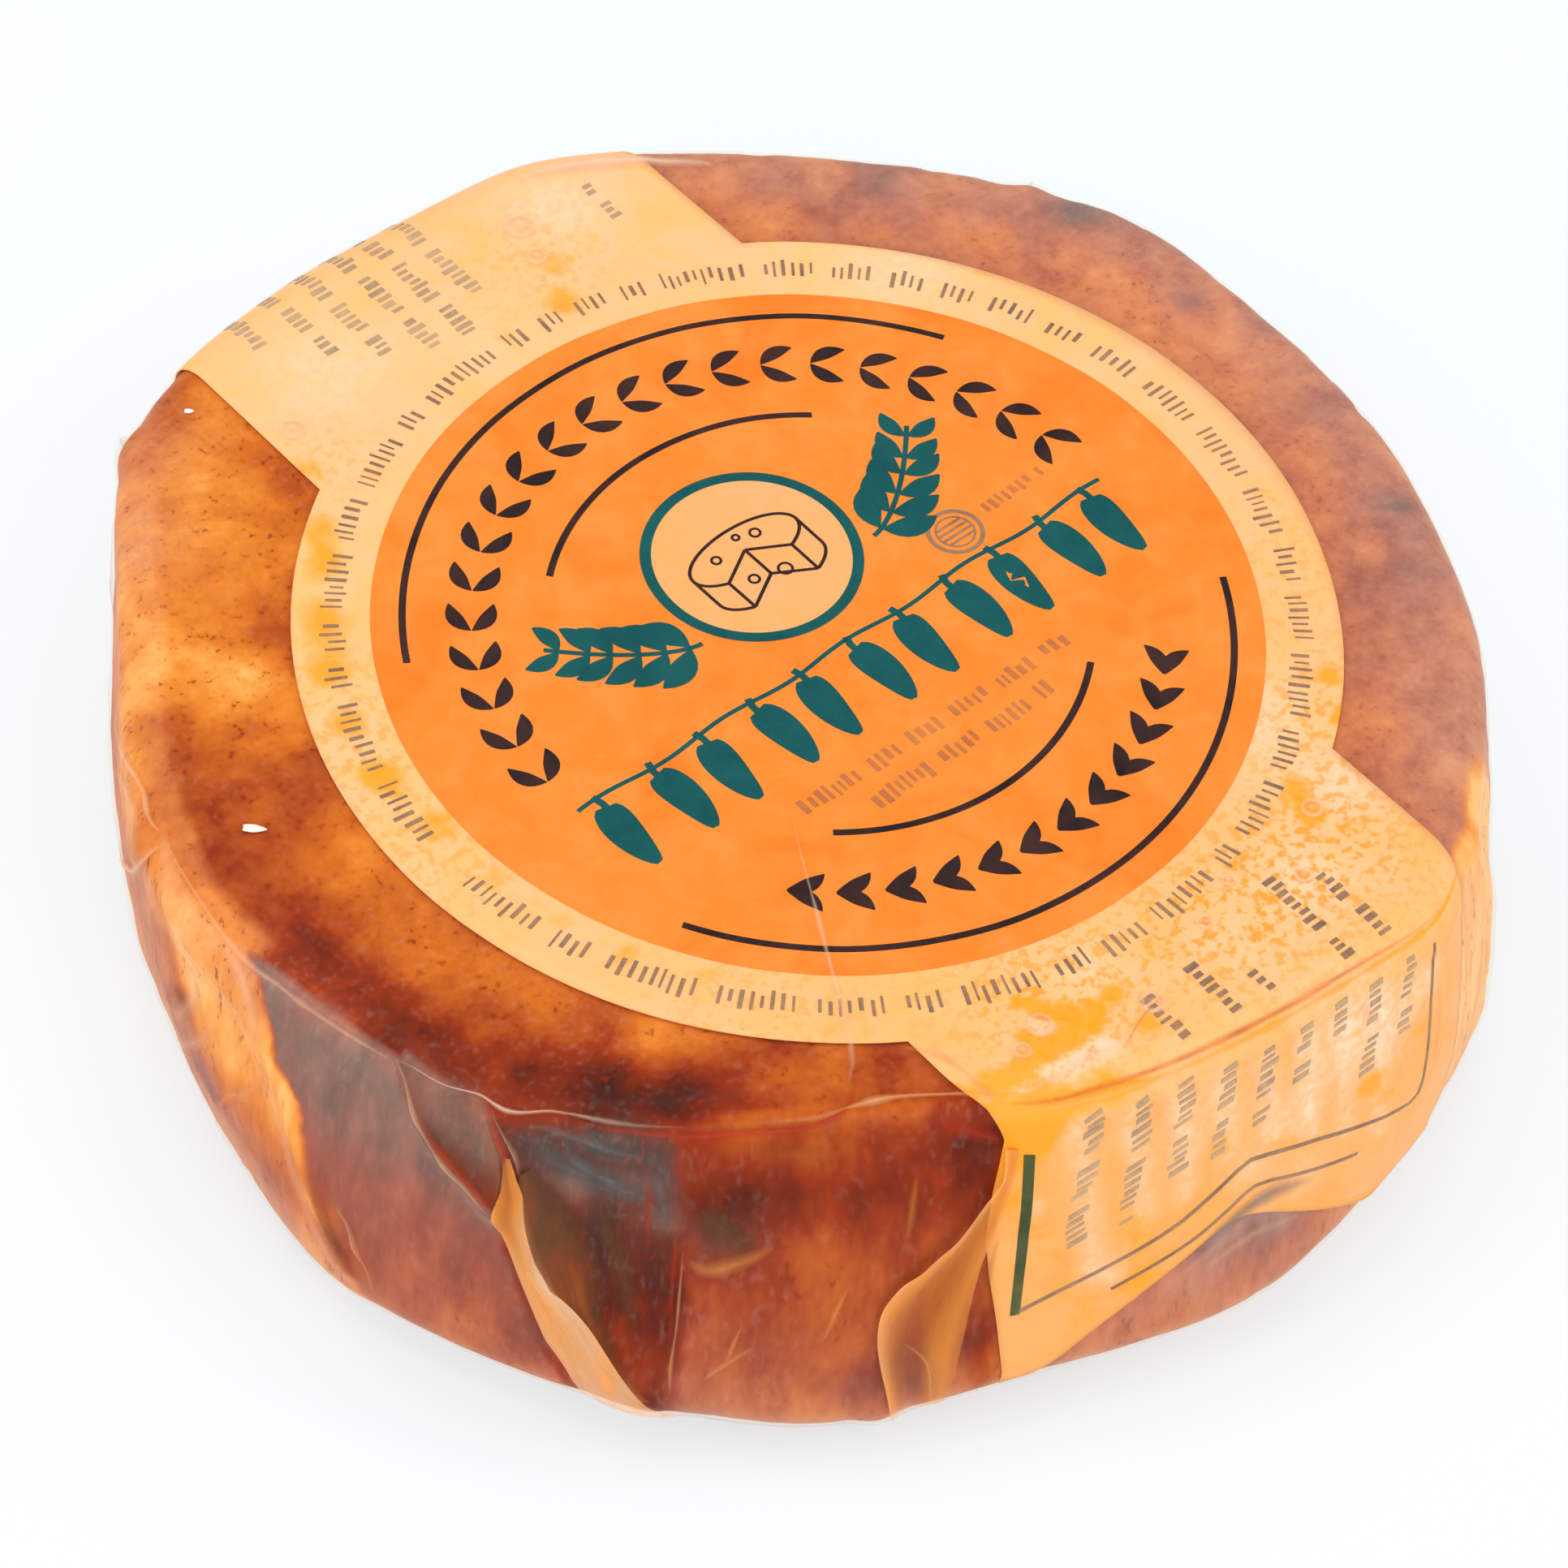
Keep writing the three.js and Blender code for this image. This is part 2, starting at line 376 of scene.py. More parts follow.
# The shared grain at a place, as a normal
def grainOf(tree, place, coarse, fine, strength, depth):
    inputs = {"Place": place, "Coarse Scale": coarse, "Fine Scale": fine, "Strength": strength,
              "Depth": depth}
    return addNode(tree, "ShaderNodeGroup", inputs, node_tree=grainGroup).outputs["Normal"]


# The rind

# where the amber strip meets the grey wall: degrees, run
stripBorder = [(177.5, 2.8), (179.7, 3.7), (181.2, 6.8), (183, 10.4), (185.6, 12.8), (187.1, 17.3),
               (188.2, 21.4), (189.8, 25.3), (191.7, 28.4), (194, 36)]

rind = {
    "columns": 600,
    "rows": {"top": 56, "rim": 10, "wall": 44, "base": 10, "under": 8},
    # noises as (rise, size, shift); pits lie where theirs is between two levels
    "lumps": [(0.1, 2.6, 3.1), (0.035, 1.4, 8.7)],
    "pits": [(1, 2.1, 17.9)],
    "pitDepth": 0.1,
    "pitLevels": (0.35, 0.8),
    "folded": 0.75,
    # how far the borders of fields and patches wander
    "wander": [(1.6, 4, 12.6), (0.8, 1.8, 7.1)],
    "turnWander": 0.5,
    "runWander": 0.15,
    "patchWander": 0.6,
    "fieldEnds": 0.4,
    "toneLimits": (-2.2, 2),
    "paintedSheenLimits": (0, 0.6),
    # Tone goes from dark red brown (below 0) to pale amber (above 0). The painted sheen goes from clear to a
    # pale veil: the film's reflection of the studio, painted into the rind's colour.
    # fields: first and last line as (degrees, run), how soft they are, and (run, tone, painted sheen) down
    # the field
    "fields": {
        "leftSweep": ([(125, 0), (125, 36)],
                      [(177.5, 0), (179.7, 3.7), (181.2, 6.8), (183, 10.4), (185.6, 12.8), (187.1, 17.3),
                       (188.2, 21.4), (189.8, 25.3), (194, 36)], 1.2,
                      [(1.5, 0.3, 0.05), (4, 0.6, 0.03), (10, 0.1, 0.03), (16, -0.25, 0.02),
                       (23, -0.35, 0.03), (36, 0.3, 0.2)]),
        "amberStrip": ([(164, 2.4), (168, 5.4), (170.5, 9.6), (172, 14.4), (173.5, 19), (176.5, 25),
                        (183, 31), (190, 36)], stripBorder, 0.9,
                       [(2.4, 0.6, 0.14), (6, 0.8, 0.08), (11, 1.15, 0.02), (16, 0.9, 0.01), (20, 0.15, 0.01),
                        (25, -0.4, 0.02), (30, 0, 0.1), (36, 0.3, 0.3)]),
        "greyWall": (stripBorder,
                     [(193.4, 2.2), (197, 5.9), (200.6, 9), (204.4, 11.6), (206, 20.5), (209.5, 30),
                      (212, 36)], 0.35,
                     [(2.4, -1.3, 0.16), (4.5, -2, 0.19), (10, -2, 0.15), (16, -1.45, 0.08),
                      (24, -1.2, 0.055), (30, -1, 0.06), (34, -0.4, 0.12)]),
        "triangle": ([(193.4, 2.4), (197, 5.9), (200.6, 9), (204.2, 11.5)],
                     [(201.5, 1.5), (203.3, 3.1), (204.7, 5.5), (204.8, 11.6)], 0.35,
                     [(1.6, -1.5, 0.14), (5.5, -1.9, 0.15), (8.5, -1.6, 0.04), (11, -1.2, 0)]),
        "slate": ([(201.5, 1.8), (203.4, 3.2), (205, 6), (205.4, 12), (209, 26), (214, 36)],
                  [(214.5, 2.6), (218.2, 5.5), (218.7, 14), (217.6, 22), (217.5, 36)], 1.5,
                  [(2.2, -1.3, 0.02), (3.6, -2.2, 0.05), (8, -2.2, 0.05), (13, -2, 0.02), (20, -1.7, 0),
                   (27, -1.2, 0), (31, -0.5, 0.04), (34, -0.1, 0.14)]),
        "brick": ([(216, 2.4), (218, 6), (219.2, 20), (219, 36)], [(246.4, 2.4), (243, 18), (243, 36)], 1.1,
                  [(2.4, -0.5, 0), (5, -0.9, 0), (10, -1.45, 0), (14, -1.1, 0.01), (19, -0.65, 0.02),
                   (26, -0.45, 0.05), (30, -0.3, 0.1), (34, -0.1, 0.15)]),
        "underBand": ([(246, 12), (246, 36)], [(288, 12), (288, 36)], 1.5, [(12, -0.8, 0.1), (34, 0, 0.16)]),
        "rightWall": ([(287, 2.4), (287.5, 36)], [(306, 2.4), (312, 12), (316, 36)], 2.5,
                      [(2.6, 1.3, 0.02), (8, 1.7, 0), (20, 1.6, 0.02), (30, 1.3, 0.12), (34, 0.9, 0.25)]),
    },
    # darker towards the rim of the top: run it starts at, run it is full at, and (degrees, tone) round it
    "rimShade": (-8, -1.2, [(140, 0), (160, -0.3), (172, -0.8), (182, -1), (194, -1.4), (203, -1.25),
                            (212, -1.4), (236, -1.1), (252, 0)]),
    # to the right: places across where it starts and is full, tone, painted sheen, and more painted sheen
    # between two runs
    "rightSide": {"across": (4, 34), "tone": -0.3, "paintedSheen": 0.13, "rimPaintedSheen": 0.1, "rim": (-9, 2)},
    # patches on the top: x, y from the label's middle, size, tone
    "topTones": [
        (-27, 46, 6, 0.5), (-33, 40, 6, 0.7), (-43, 31, 6, 0.8), (-41, 23.5, 4, 0.9), (-46, 27, 3, 0.5),
        (-36.5, 26, 1.6, -1.3), (-35.3, 23, 1.3, -0.9), (-50, 27, 2.5, -0.3), (-47, 16, 4, -0.3),
        (-43, 13, 3, -0.5), (-49, 9, 4, -0.3), (-53.5, 9, 3, -0.3), (-44, 3, 3, 0.15), (-45.5, -3, 3.5, 0.2),
        (-47.5, -8.5, 3.4, 0.6), (-47.5, -16.5, 2.4, 0.4), (-43.2, -13, 3.2, 0.45), (-41.8, -17, 2.6, 0.3),
        (-40.5, -20.5, 2.4, -0.4), (-39, -24, 2.8, 0.9), (-36, -28, 2, 0.3), (-33, -31, 2.8, 0.9),
        (-29.5, -34.3, 2.6, 0.8), (-26.8, -39.5, 2.4, 0.7), (-44.5, -26, 2.6, -1.1), (-41, -29.7, 2, -1.3),
        (-46.5, -20.5, 2.4, -0.6), (-51.5, -1, 3, -0.3), (-38.5, -29.5, 2, -0.3), (-37, 35, 3, 0.4),
        (46.5, 12.5, 3.2, 0.7), (45, 18, 2.5, 0.5), (44.6, 6, 3, 0.5), (45, -4, 3, 0.5), (49, 7, 2, -1.5),
        (50, 21.5, 2.6, -1.9), (53, 2, 2.2, -1.1), (50.5, -8, 2.6, -0.9), (48.5, -14, 2.4, -0.6),
        (46.5, -20.5, 2.5, -1.3), (44, -25, 2.6, -0.9), (41, -28, 3.4, -0.7), (37, -32, 3, -0.3),
        (33, -38, 3, -0.4), (29, -35.5, 2.6, 0.4), (30.5, 40.8, 2.8, -0.7), (27, 36.5, 3, 0.3),
        (38.5, 35.5, 3, -1.4), (32, 35, 3, -0.5), (37, 30, 2, -0.8), (44, 27, 3, -0.5), (41, 24, 2.4, 0.4),
        (-48.5, 25.4, 2.4, -0.6), (-50.4, 3.6, 2.2, -0.5), (-50.4, -3.5, 2.2, 0.5), (-49.4, -10.5, 2.2, 0.45),
        (-54.2, 3.6, 2, -0.4), (-53.3, 11.3, 2.2, -0.6), (-41.3, -22, 2, -0.5), (-53.3, -11.3, 2, -0.4),
        (-45.6, 9.7, 2.2, -0.5), (-30.5, 45.2, 3.4, 0.35), (50.2, -7, 2.2, 0.5), (53, 18.5, 2.4, -0.3)],
    # the same down the wall: degrees, height, size, tone
    "wallTones": [
        (173, 14.4, 2.6, -0.8), (171.5, 22.5, 2, -0.8), (166, 12, 3, -0.7), (168, 27, 3, -0.5),
        (161, 20, 3, -0.3), (154, 29, 4, 0.4), (180, 11, 4, -0.3), (196, 24, 3, 0.15), (200, 13, 4, 0.2),
        (203, 8, 3, 0.6), (221, 25.5, 2.6, -1), (226, 26.5, 2.6, -0.5), (234, 10, 3.5, -0.7),
        (239, 9, 3.2, -1.2), (243.6, 12, 2, -1.2), (229, 12, 3, -0.3), (188.6, 14.5, 1.8, 1.2),
        (228, 30, 3, 0.3), (226, 19.5, 3, 0.25), (231, 21, 3, 0.25), (234, 26.5, 3.4, -0.35),
        (238, 33, 2.5, -0.5), (244.5, 31.5, 2.5, -0.9), (243, 28, 2.5, -0.4), (239.5, 27.5, 1.6, 0.5),
        (266, 14, 4, -0.9), (272, 14, 3, -0.8), (214, 31, 3, -0.2)],
    # milky-looking places on the wall, where highlights on the film are painted into the rind's colour:
    # degrees, height, size, painted sheen
    "paintedSheens": [
        (122, 34.6, 5, 0.1), (132, 34.6, 5, 0.1), (266, 15, 3.5, 0.14), (272, 15, 3, 0.18),
        (262, 11, 3, 0.05), (215.5, 29.5, 1.6, 0.07), (217.2, 25.5, 1.5, 0.1), (210, 29, 1.6, 0.08),
        (190, 24, 4, 0.03), (222, 24, 2.2, 0.05)],
}


# Points that a patch's two numbers stand for: on the top from the label's middle, and on the wall
def topPlace(x, y):
    return np.array([x + label["middle"][0], y, wheel["height"]])


# On the wall the run is the rim's arc and the way down from the wall's top
def wallPlace(degrees, height):
    return skinPoint(np.array(math.radians(degrees)), np.array(topArc + highWall - height))


# Round patches (place, place, size, strength) added up: each is a bell that fades away from its middle
def gatherPatches(points, patches, placeOf):
    total = np.zeros(points.shape[:-1])
    for first, second, size, strength in patches:
        near = ((points - placeOf(first, second)) ** 2).sum(-1) / size ** 2
        total += strength * np.exp(-near)
    return total


# Runs of a whole skin, rows by columns: a power of the share over the top, even steps down the sides
def wheelRuns(angles, rows):
    rimRadius = wallRadius(angles, highWall) - wheel["topRounding"]
    baseRadius = wallRadius(angles, wheel["baseRounding"]) - wheel["baseRounding"]
    shares = (np.arange(rows["top"]) + 1) / (rows["top"] + 1)
    top = -rimRadius[None, :] * (1 - shares[:, None] ** 0.8)
    stops = [0, topArc, topArc + wallLength, wholeRun]
    steps = [np.linspace(start, end, rows[key], endpoint=False)
             for key, start, end in zip(("rim", "wall", "base"), stops, stops[1:])]
    sides = np.concatenate(steps)[:, None] + np.zeros(len(angles))
    shares = np.arange(rows["under"]) / rows["under"]
    under = wholeRun + baseRadius[None, :] * shares[:, None]
    return np.concatenate([top, sides, under])


# A closed skin round the wheel: its grid, and a fan of triangles at the middle of the top and of the base
def addWheelSkin(name, settings, pointsOf, material, slot, valuesOf=None):
    angles = np.linspace(0, 2 * math.pi, settings["columns"], endpoint=False)
    runs = wheelRuns(angles, settings["rows"])
    angles = angles[None, :] + np.zeros_like(runs)
    points = pointsOf(angles, runs)
    rows, columns = runs.shape
    flat = points.reshape(-1, 3)
    angles = np.append(angles.ravel(), [0, 0])
    runs = np.append(runs.ravel(), [-wheel["meanRadius"], wholeRun + wheel["meanRadius"]])
    ends = np.array([[0, 0, points[0, :, 2].mean()], [0, 0, points[-1, :, 2].mean()]])
    allPoints = np.concatenate([flat, ends])
    faceSets = [gridFaces(rows, columns, wrapped=True), fanFaces(len(flat), np.arange(columns)),
                fanFaces(len(flat) + 1, np.arange(columns) + (rows - 1) * columns, turned=True)]
    values = valuesOf(allPoints, angles, runs) if valuesOf else None
    return addPiece(name, allPoints, faceSets, material, slot, values)


# The rind's skin: the swells, lumps from soft noise, and pits where a finer noise is high
def rindPoints(angles, runs):
    ground = skinPoint(angles, runs)
    pits = rind["pitDepth"] * smoothStep(*rind["pitLevels"], noiseSum(ground, rind["pits"]))
    return layerPoint(angles, runs, lifts["rind"] + noiseSum(ground, rind["lumps"]) - pits, rind["folded"])


# Share by which a point lies between two lines of (degrees, run), which are read off at the point's own run
def fieldShare(degrees, runs, first, second, soft):
    firstTurns, firstRuns = np.array(first, float).T
    secondTurns, secondRuns = np.array(second, float).T
    start = np.interp(runs, firstRuns, firstTurns)
    end = np.interp(runs, secondRuns, secondTurns)
    along = smoothStep(-soft, soft, degrees - start) * smoothStep(-soft, soft, end - degrees)
    low, high = min(firstRuns[0], secondRuns[0]), max(firstRuns[-1], secondRuns[-1])
    ends = rind["fieldEnds"]
    return along * smoothStep(low - ends, low + ends, runs) * smoothStep(high + ends, high - ends, runs)


# Tone and painted sheen: fields first, each mixed over the ones before it, then round patches added on top
def rindValues(points, angles, runs):
    wander = noiseSum(points, rind["wander"])
    degrees = np.degrees(angles) % 360 + rind["turnWander"] * wander
    first, full, shades = rind["rimShade"]
    turns, levels = np.array(shades).T
    side = rind["rightSide"]
    right = smoothStep(*side["across"], points[:, 0] - label["middle"][0])
    tone = np.interp(degrees, turns, levels) * smoothStep(first, full, runs + wander) + side["tone"] * right
    paintedSheen = (side["paintedSheen"] + side["rimPaintedSheen"] * smoothStep(*side["rim"], runs)) * right
    for first, second, soft, levels in rind["fields"].values():
        share = fieldShare(degrees, runs + rind["runWander"] * wander, first, second, soft)
        stops, tones, paintedSheens = np.array(levels).T
        tone = tone + share * (np.interp(runs, stops, tones) - tone)
        paintedSheen = paintedSheen + share * (np.interp(runs, stops, paintedSheens) - paintedSheen)
    moved = points + (rind["patchWander"] * wander)[:, None]
    tone = tone + gatherPatches(moved, rind["topTones"], topPlace)
    tone = tone + gatherPatches(moved, rind["wallTones"], wallPlace)
    paintedSheen = paintedSheen + gatherPatches(moved, rind["paintedSheens"], wallPlace)
    return {"tone": np.clip(tone, *rind["toneLimits"]), "paintedSheen": np.clip(paintedSheen, *rind["paintedSheenLimits"])}


rindLook = {
    "stretch": 0.35,
    "patchScale": 330.0,
    # level on the ramp of browns: what it starts from, and how much tone, blotches and patches add to it
    "levelStart": 0.05,
    "toneShare": 0.25,
    "blotchShare": 0.72,
    "patchShare": 0.4,
    "browns": [(0.0, colourOf(0.045, 0.012, 0.008)), (0.15, colourOf(0.12, 0.014, 0.005)),
               (0.35, colourOf(0.28, 0.031, 0.006)), (0.5, colourOf(0.43, 0.08, 0.01)),
               (0.65, colourOf(0.58, 0.14, 0.012)), (0.8, colourOf(0.73, 0.23, 0.025)),
               (0.92, colourOf(0.84, 0.36, 0.075)), (1.0, colourOf(0.88, 0.47, 0.15))],
    "fleck": colourOf(0.22, 0.02, 0.006),
    # colour of the painted sheen: the film's pale reflection of the studio, painted into the rind's colour
    "paintedSheen": colourOf(0.8, 0.66, 0.57),
}


# Rind: a level from tone, broad blotches and patches is read off a ramp of browns, then the painted sheen
# lies over it: the film's pale reflection of the studio and fine painted glints, mixed into the colour
def makeRindMaterial():
    material, tree, shader = newMaterial("paprikaRind")
    place = objectPlace(tree, rindLook["stretch"])
    blotch, dots = mottleOf(tree, place, 85.0, 1500.0)
    patch = noiseOf(tree, place, rindLook["patchScale"], 4.0, 0.65)
    tone = readValue(tree, "tone")
    level = calculate(tree, "MULTIPLY_ADD", tone, rindLook["toneShare"], rindLook["levelStart"])
    level = calculate(tree, "MULTIPLY_ADD", blotch, rindLook["blotchShare"], level)
    level = calculate(tree, "MULTIPLY_ADD", patch, rindLook["patchShare"], level)
    colour = ramp(tree, level, rindLook["browns"])
    cloud = ramp(tree, patch, [(0.42, 0.7), (0.58, 0.1)])
    flecks = calculate(tree, "MULTIPLY", ramp(tree, dots, [(0.33, 1.0), (0.4, 0.0)]), cloud)
    colour = mixColours(tree, flecks, colour, rindLook["fleck"])
    paintedSheen = calculate(tree, "MULTIPLY", readValue(tree, "paintedSheen"), ramp(tree, patch, [(0.3, 0.75), (0.7, 1.2)]))
    # fine pale specks: painted glints of light on the film's small wrinkles
    paintedGlints = calculate(tree, "MULTIPLY", ramp(tree, dots, [(0.54, 0.0), (0.7, 0.05)]),
                       ramp(tree, blotch, [(0.4, 1.0), (0.7, 0.3)]))
    colour = mixColours(tree, calculate(tree, "ADD", paintedSheen, paintedGlints), colour, rindLook["paintedSheen"])
    setInputs(tree, shader, {"Base Color": colour, "Roughness": 0.45, "Specular IOR Level": 0.04,
                             "Normal": grainOf(tree, place, 700.0, 2600.0, 0.22, 0.0002)})
    return material


# The paper label

label = {
    "middle": (1, 0),
    "radius": 43,
    "halfWidth": 23.2,
    "thickness": 0.12,
    # lower edge of the band's two ends: height at the peak, and how it falls away to the corners
    "frontEdge": {"peak": 16.6, "peakAt": -1.8, "tip": 2.5, "fall": 0.72, "lowest": 5.5},
    "backEdge": {"peak": 24.5, "peakAt": 1, "tip": 14, "fall": 0.3, "lowest": 18.0},
    # where the front end's sides lie on the wall: height, left x, right x
    "frontSides": [
        (7, -22.9, 21.5), (13, -23, 21.7), (18, -23.2, 21.9), (22, -23.1, 22), (26, -22.2, 22.3),
        (31, -20.6, 23), (34, -21.2, 23.9), (35, -22.2, 24.2)],
    "middleRows": 66,
    "shoulderRows": 14,
    "rimRows": 10,
    "wallRows": 30,
    "columns": 56,
    "sideColumns": 16,
    "walkSteps": 14,
    # oily, orange stained places: x, y or height, size, share
    "topOil": [
        (0, -46, 2.2, 0.5), (0, 39.5, 2.4, 0.45), (-23.6, -42.6, 1.8, 0.8), (-20.5, -43.1, 1.3, 1.2),
        (-18, -43.5, 1.2, 1.2), (-15.4, -43.4, 1.2, 1.3), (-13.2, -44, 1, 1.1), (-18.5, -47.6, 2.4, 1),
        (-14, -49, 2.4, 0.9), (-11, -44.1, 0.9, 1.2), (-13.3, -40.3, 1, 0.9), (-16, -41.2, 0.9, 0.9),
        (-13.8, -38.6, 0.8, 1), (-7.8, -42.9, 1, 1.1), (-9.8, -43, 0.9, 0.9), (-7.5, -46.5, 1.8, 0.7),
        (-12, -42, 1.5, 0.7), (18, -37, 1.8, 0.9), (17, -40, 1.4, 1), (28.5, -30.5, 1.6, 1),
        (26, -34.5, 1.3, 0.9), (38, -13, 1.8, 0.6), (35, -19, 1.6, 0.4), (-37.2, 15, 2.2, 0.9),
        (-38.3, 9, 2.2, 0.9), (-38, 2.5, 2.2, 0.8), (-37.5, -4.5, 2, 0.6), (-36.5, -11, 1.8, 0.6),
        (-34.6, -16.5, 1.7, 0.6), (-31.2, -22, 1.6, 0.5), (-34.5, 20.5, 2.6, 0.8), (-31.5, 25, 2.4, 0.7),
        (-28, 29.5, 2.2, 0.6), (-25.5, 33, 2.4, 0.6), (-22, 38, 2.6, 0.5), (9, 44, 2.4, 0.6), (6, 40, 2, 0.7),
        (37, 20, 2.4, 0.3), (41.5, -6, 1.6, 0.5), (40.5, 12, 1.6, 0.4)],
    # paler cream places where the film lifts off: painted glare, a highlight of the film painted into the
    # paper's colour: x, y or height, size, share
    "topPaintedGlare": [
        (-19.2, -45, 0.9, 0.8), (-17.2, -45.4, 1.1, 1), (-15, -45.7, 1.3, 1.1), (-12.9, -45.9, 1.2, 1.1),
        (-11.4, -46.1, 0.8, 0.8), (-14.3, -41.5, 0.8, 1), (20, -30, 5, 0.6), (21, -39, 3.5, 0.6),
        (-14, 47, 6, 0.5), (30, 27, 6, 0.4), (14, 50, 5, 0.6), (3, -45, 4, 0.25), (12, -44, 4, 0.6),
        (-8, -40, 3, 0.5), (34, 24, 4, 0.3), (-2, 42, 5, 0.3)],
    # the same on the front end: painted glare of the film
    "wallPaintedGlare": [
        (-19.8, 24.5, 0.8, 0.8), (13, 28, 4, 0.6), (8, 30, 4, 0.6), (-14.5, 15.5, 1.5, 0.6), (3, 24, 3, 0.5),
        (-2, 21.3, 2, 0.5), (3, 17.5, 2.5, 0.4), (17, 30, 2, 0.5), (-6, 29, 4, 0.3)],
    # a line of oil along the front rim: height, half width, share
    "oilLine": (33.8, 0.28, 0.75),
    # pale columns on the front end, painted sheen of the film over the print: places across, half width and
    # share, heights between which they start, and distances from the lower edge between which they fade
    "columnPlaces": [-15.6, -11.6, -7.6, -3.6, 0.3, 4.2, 8, 11.8],
    "columnShape": (1.1, 0.5),
    "columnStart": (33.2, 31.5),
    "columnFade": (6, 8),
    # how soaked the paper is: a share that grows between two places along it, and one down the front wall
    "topSoak": (0.3, 30, -50),
    "wallSoak": (0.6, 34.6, 31),
    "speckles": [
        (-12, -40, 8, 1), (4, -43, 8, 1), (16, -43, 8, 1), (26, -33, 6, 0.8), (-21, 38, 5, 0.4),
        (-38, 14, 9, 0.6), (-39, 0, 8, 0.5), (-30, -27, 8, 0.5), (8, 45, 6, 0.4), (34, -20, 8, 0.4)],
    "wallOil": [
        (-21, 30.5, 2.8, 1.3), (-18.5, 32, 2.6, 1), (-21, 25.5, 2.6, 0.5), (-20, 20, 3.2, 0.45),
        (-17, 12, 3.5, 0.45), (-11.5, 19.5, 2.6, 0.55), (-11.5, 13.5, 2.6, 0.5), (-6, 12.5, 2, 0.3),
        (10.5, 22.5, 1.8, 0.9), (12.5, 19.5, 1.4, 0.6), (-12, 24, 3, 0.3), (-21, 14, 3, 0.2),
        (9.4, 29, 0.9, 0.7), (9.9, 26, 0.9, 0.7), (1.5, 21.5, 1.6, 0.5), (-4.5, 25, 1.4, 0.5),
        (16, 25, 1.5, 0.5)],
}
# where the sides of the band meet the circle of the round face
bandReach = math.sqrt(label["radius"] ** 2 - label["halfWidth"] ** 2)


# Places across of the band's two sides: straight at the back, read off the front end's own line at the front
def bandSides(z, side):
    if side > 0:
        return [np.full(np.shape(z), label["middle"][0] + way * label["halfWidth"]) for way in (-1, 1)]
    heights, lefts, rights = np.array(label["frontSides"]).T
    return np.interp(z, heights, lefts), np.interp(z, heights, rights)


# Place across the wheel of a place across the band
def acrossBand(u, z, side):
    left, right = bandSides(z, side)
    share = (u + label["halfWidth"]) / (2 * label["halfWidth"])
    return left + share * (right - left)


# Point of the skin at a place across the wheel: the angle is walked in until the point's x meets that place
def planePoint(x, run, side, lift=0.0):
    angle = side * np.full(np.shape(x), math.pi / 2) - side * x / wheel["meanRadius"]
    for step in range(label["walkSteps"]):
        point = skinPoint(angle, run, lift)
        radius = np.hypot(point[..., 0], point[..., 1])
        angle = side * np.arccos(np.clip(x / radius, -1, 1))
    return point


# How far along the band the rim starts to bend
def rimReach(x, side):
    return np.abs(planePoint(x, np.zeros(x.shape), side)[..., 1])


# The flat label laid on the wheel: u across it, v along its band, which turns down the wall past the rim
def onLabel(u, v, lift):
    u, v = np.broadcast_arrays(np.asarray(u, float), np.asarray(v, float))
    x = u + label["middle"][0]
    place = np.stack([x, v, np.full(x.shape, wheel["height"])], axis=-1)
    place[..., 2] += lift + noiseSum(place, wheel["swells"])
    for side in (-1, 1):
        rim = rimReach(x, side)
        past = side * v > rim
        if past.any():
            run = side * v[past] - rim[past]
            place[past] = onWall(acrossBand(u[past], heightOfRun(run), side), run, side, lift)
    return place


# Point of the front or back wall at a place across, lifted with the swells of the skin there
def onWall(x, run, side, lift):
    return planePoint(x, run, side, lift + noiseSum(planePoint(x, run, side), wheel["swells"]))


# Height of a run past the rim's start, and the run of a height: the rim's arc, then straight down the wall
def heightOfRun(run):
    return np.where(run < topArc, highWall + wheel["topRounding"] * np.cos(run / wheel["topRounding"]),
                    highWall - (run - topArc))


# Back again: the turn whose cosine the height above the wall gives, or the way down the wall
def runOfHeight(z):
    turn = np.arccos(np.clip((z - highWall) / wheel["topRounding"], 0, 1)) * wheel["topRounding"]
    return np.where(z > highWall, turn, topArc + highWall - z)


# Point of the front end at a place across and a height
def frontPlace(x, z):
    return onWall(np.array(x), runOfHeight(np.array(z)), -1, 0.0)


# Height of the band's lower edge: a rounded peak that falls away to both corners
def edgeHeight(x, edge):
    slope = edge["fall"] * (np.hypot(x - edge["peakAt"], edge["tip"]) - edge["tip"])
    return np.maximum(edge["peak"] - slope, edge["lowest"])


# The band: rows from its back end over the top to its front end, each end cut to its lower edge
def bandPoints():
    u = np.linspace(-label["halfWidth"], label["halfWidth"], label["columns"])
    x = u + label["middle"][0]
    parts = []
    for side, edge in ((1, label["backEdge"]), (-1, label["frontEdge"])):
        shares = np.linspace(0, 1, label["shoulderRows"], endpoint=False)[1:, None]
        v = bandReach + shares * (rimReach(x, side) - bandReach)
        shoulder = onLabel(u, side * v, lifts["paper"])
        turns = np.linspace(0, topArc, label["rimRows"], endpoint=False)[:, None] + 0 * u
        # on the wall the sides wander, so the cut follows the place across the wheel that each column reaches
        last = topArc + highWall - edgeHeight(x, edge)
        walls = topArc + np.linspace(0, 1, label["wallRows"])[:, None] * (last - topArc)[None, :]
        runs = np.concatenate([turns, walls])
        end = onWall(acrossBand(u, heightOfRun(runs), side), runs, side, lifts["paper"])
        part = np.concatenate([shoulder, end])
        parts.append(part[::-1] if side > 0 else part)
    middle = onLabel(u, np.linspace(bandReach, -bandReach, label["middleRows"])[:, None], lifts["paper"])
    return np.concatenate([parts[0], middle, parts[1]])


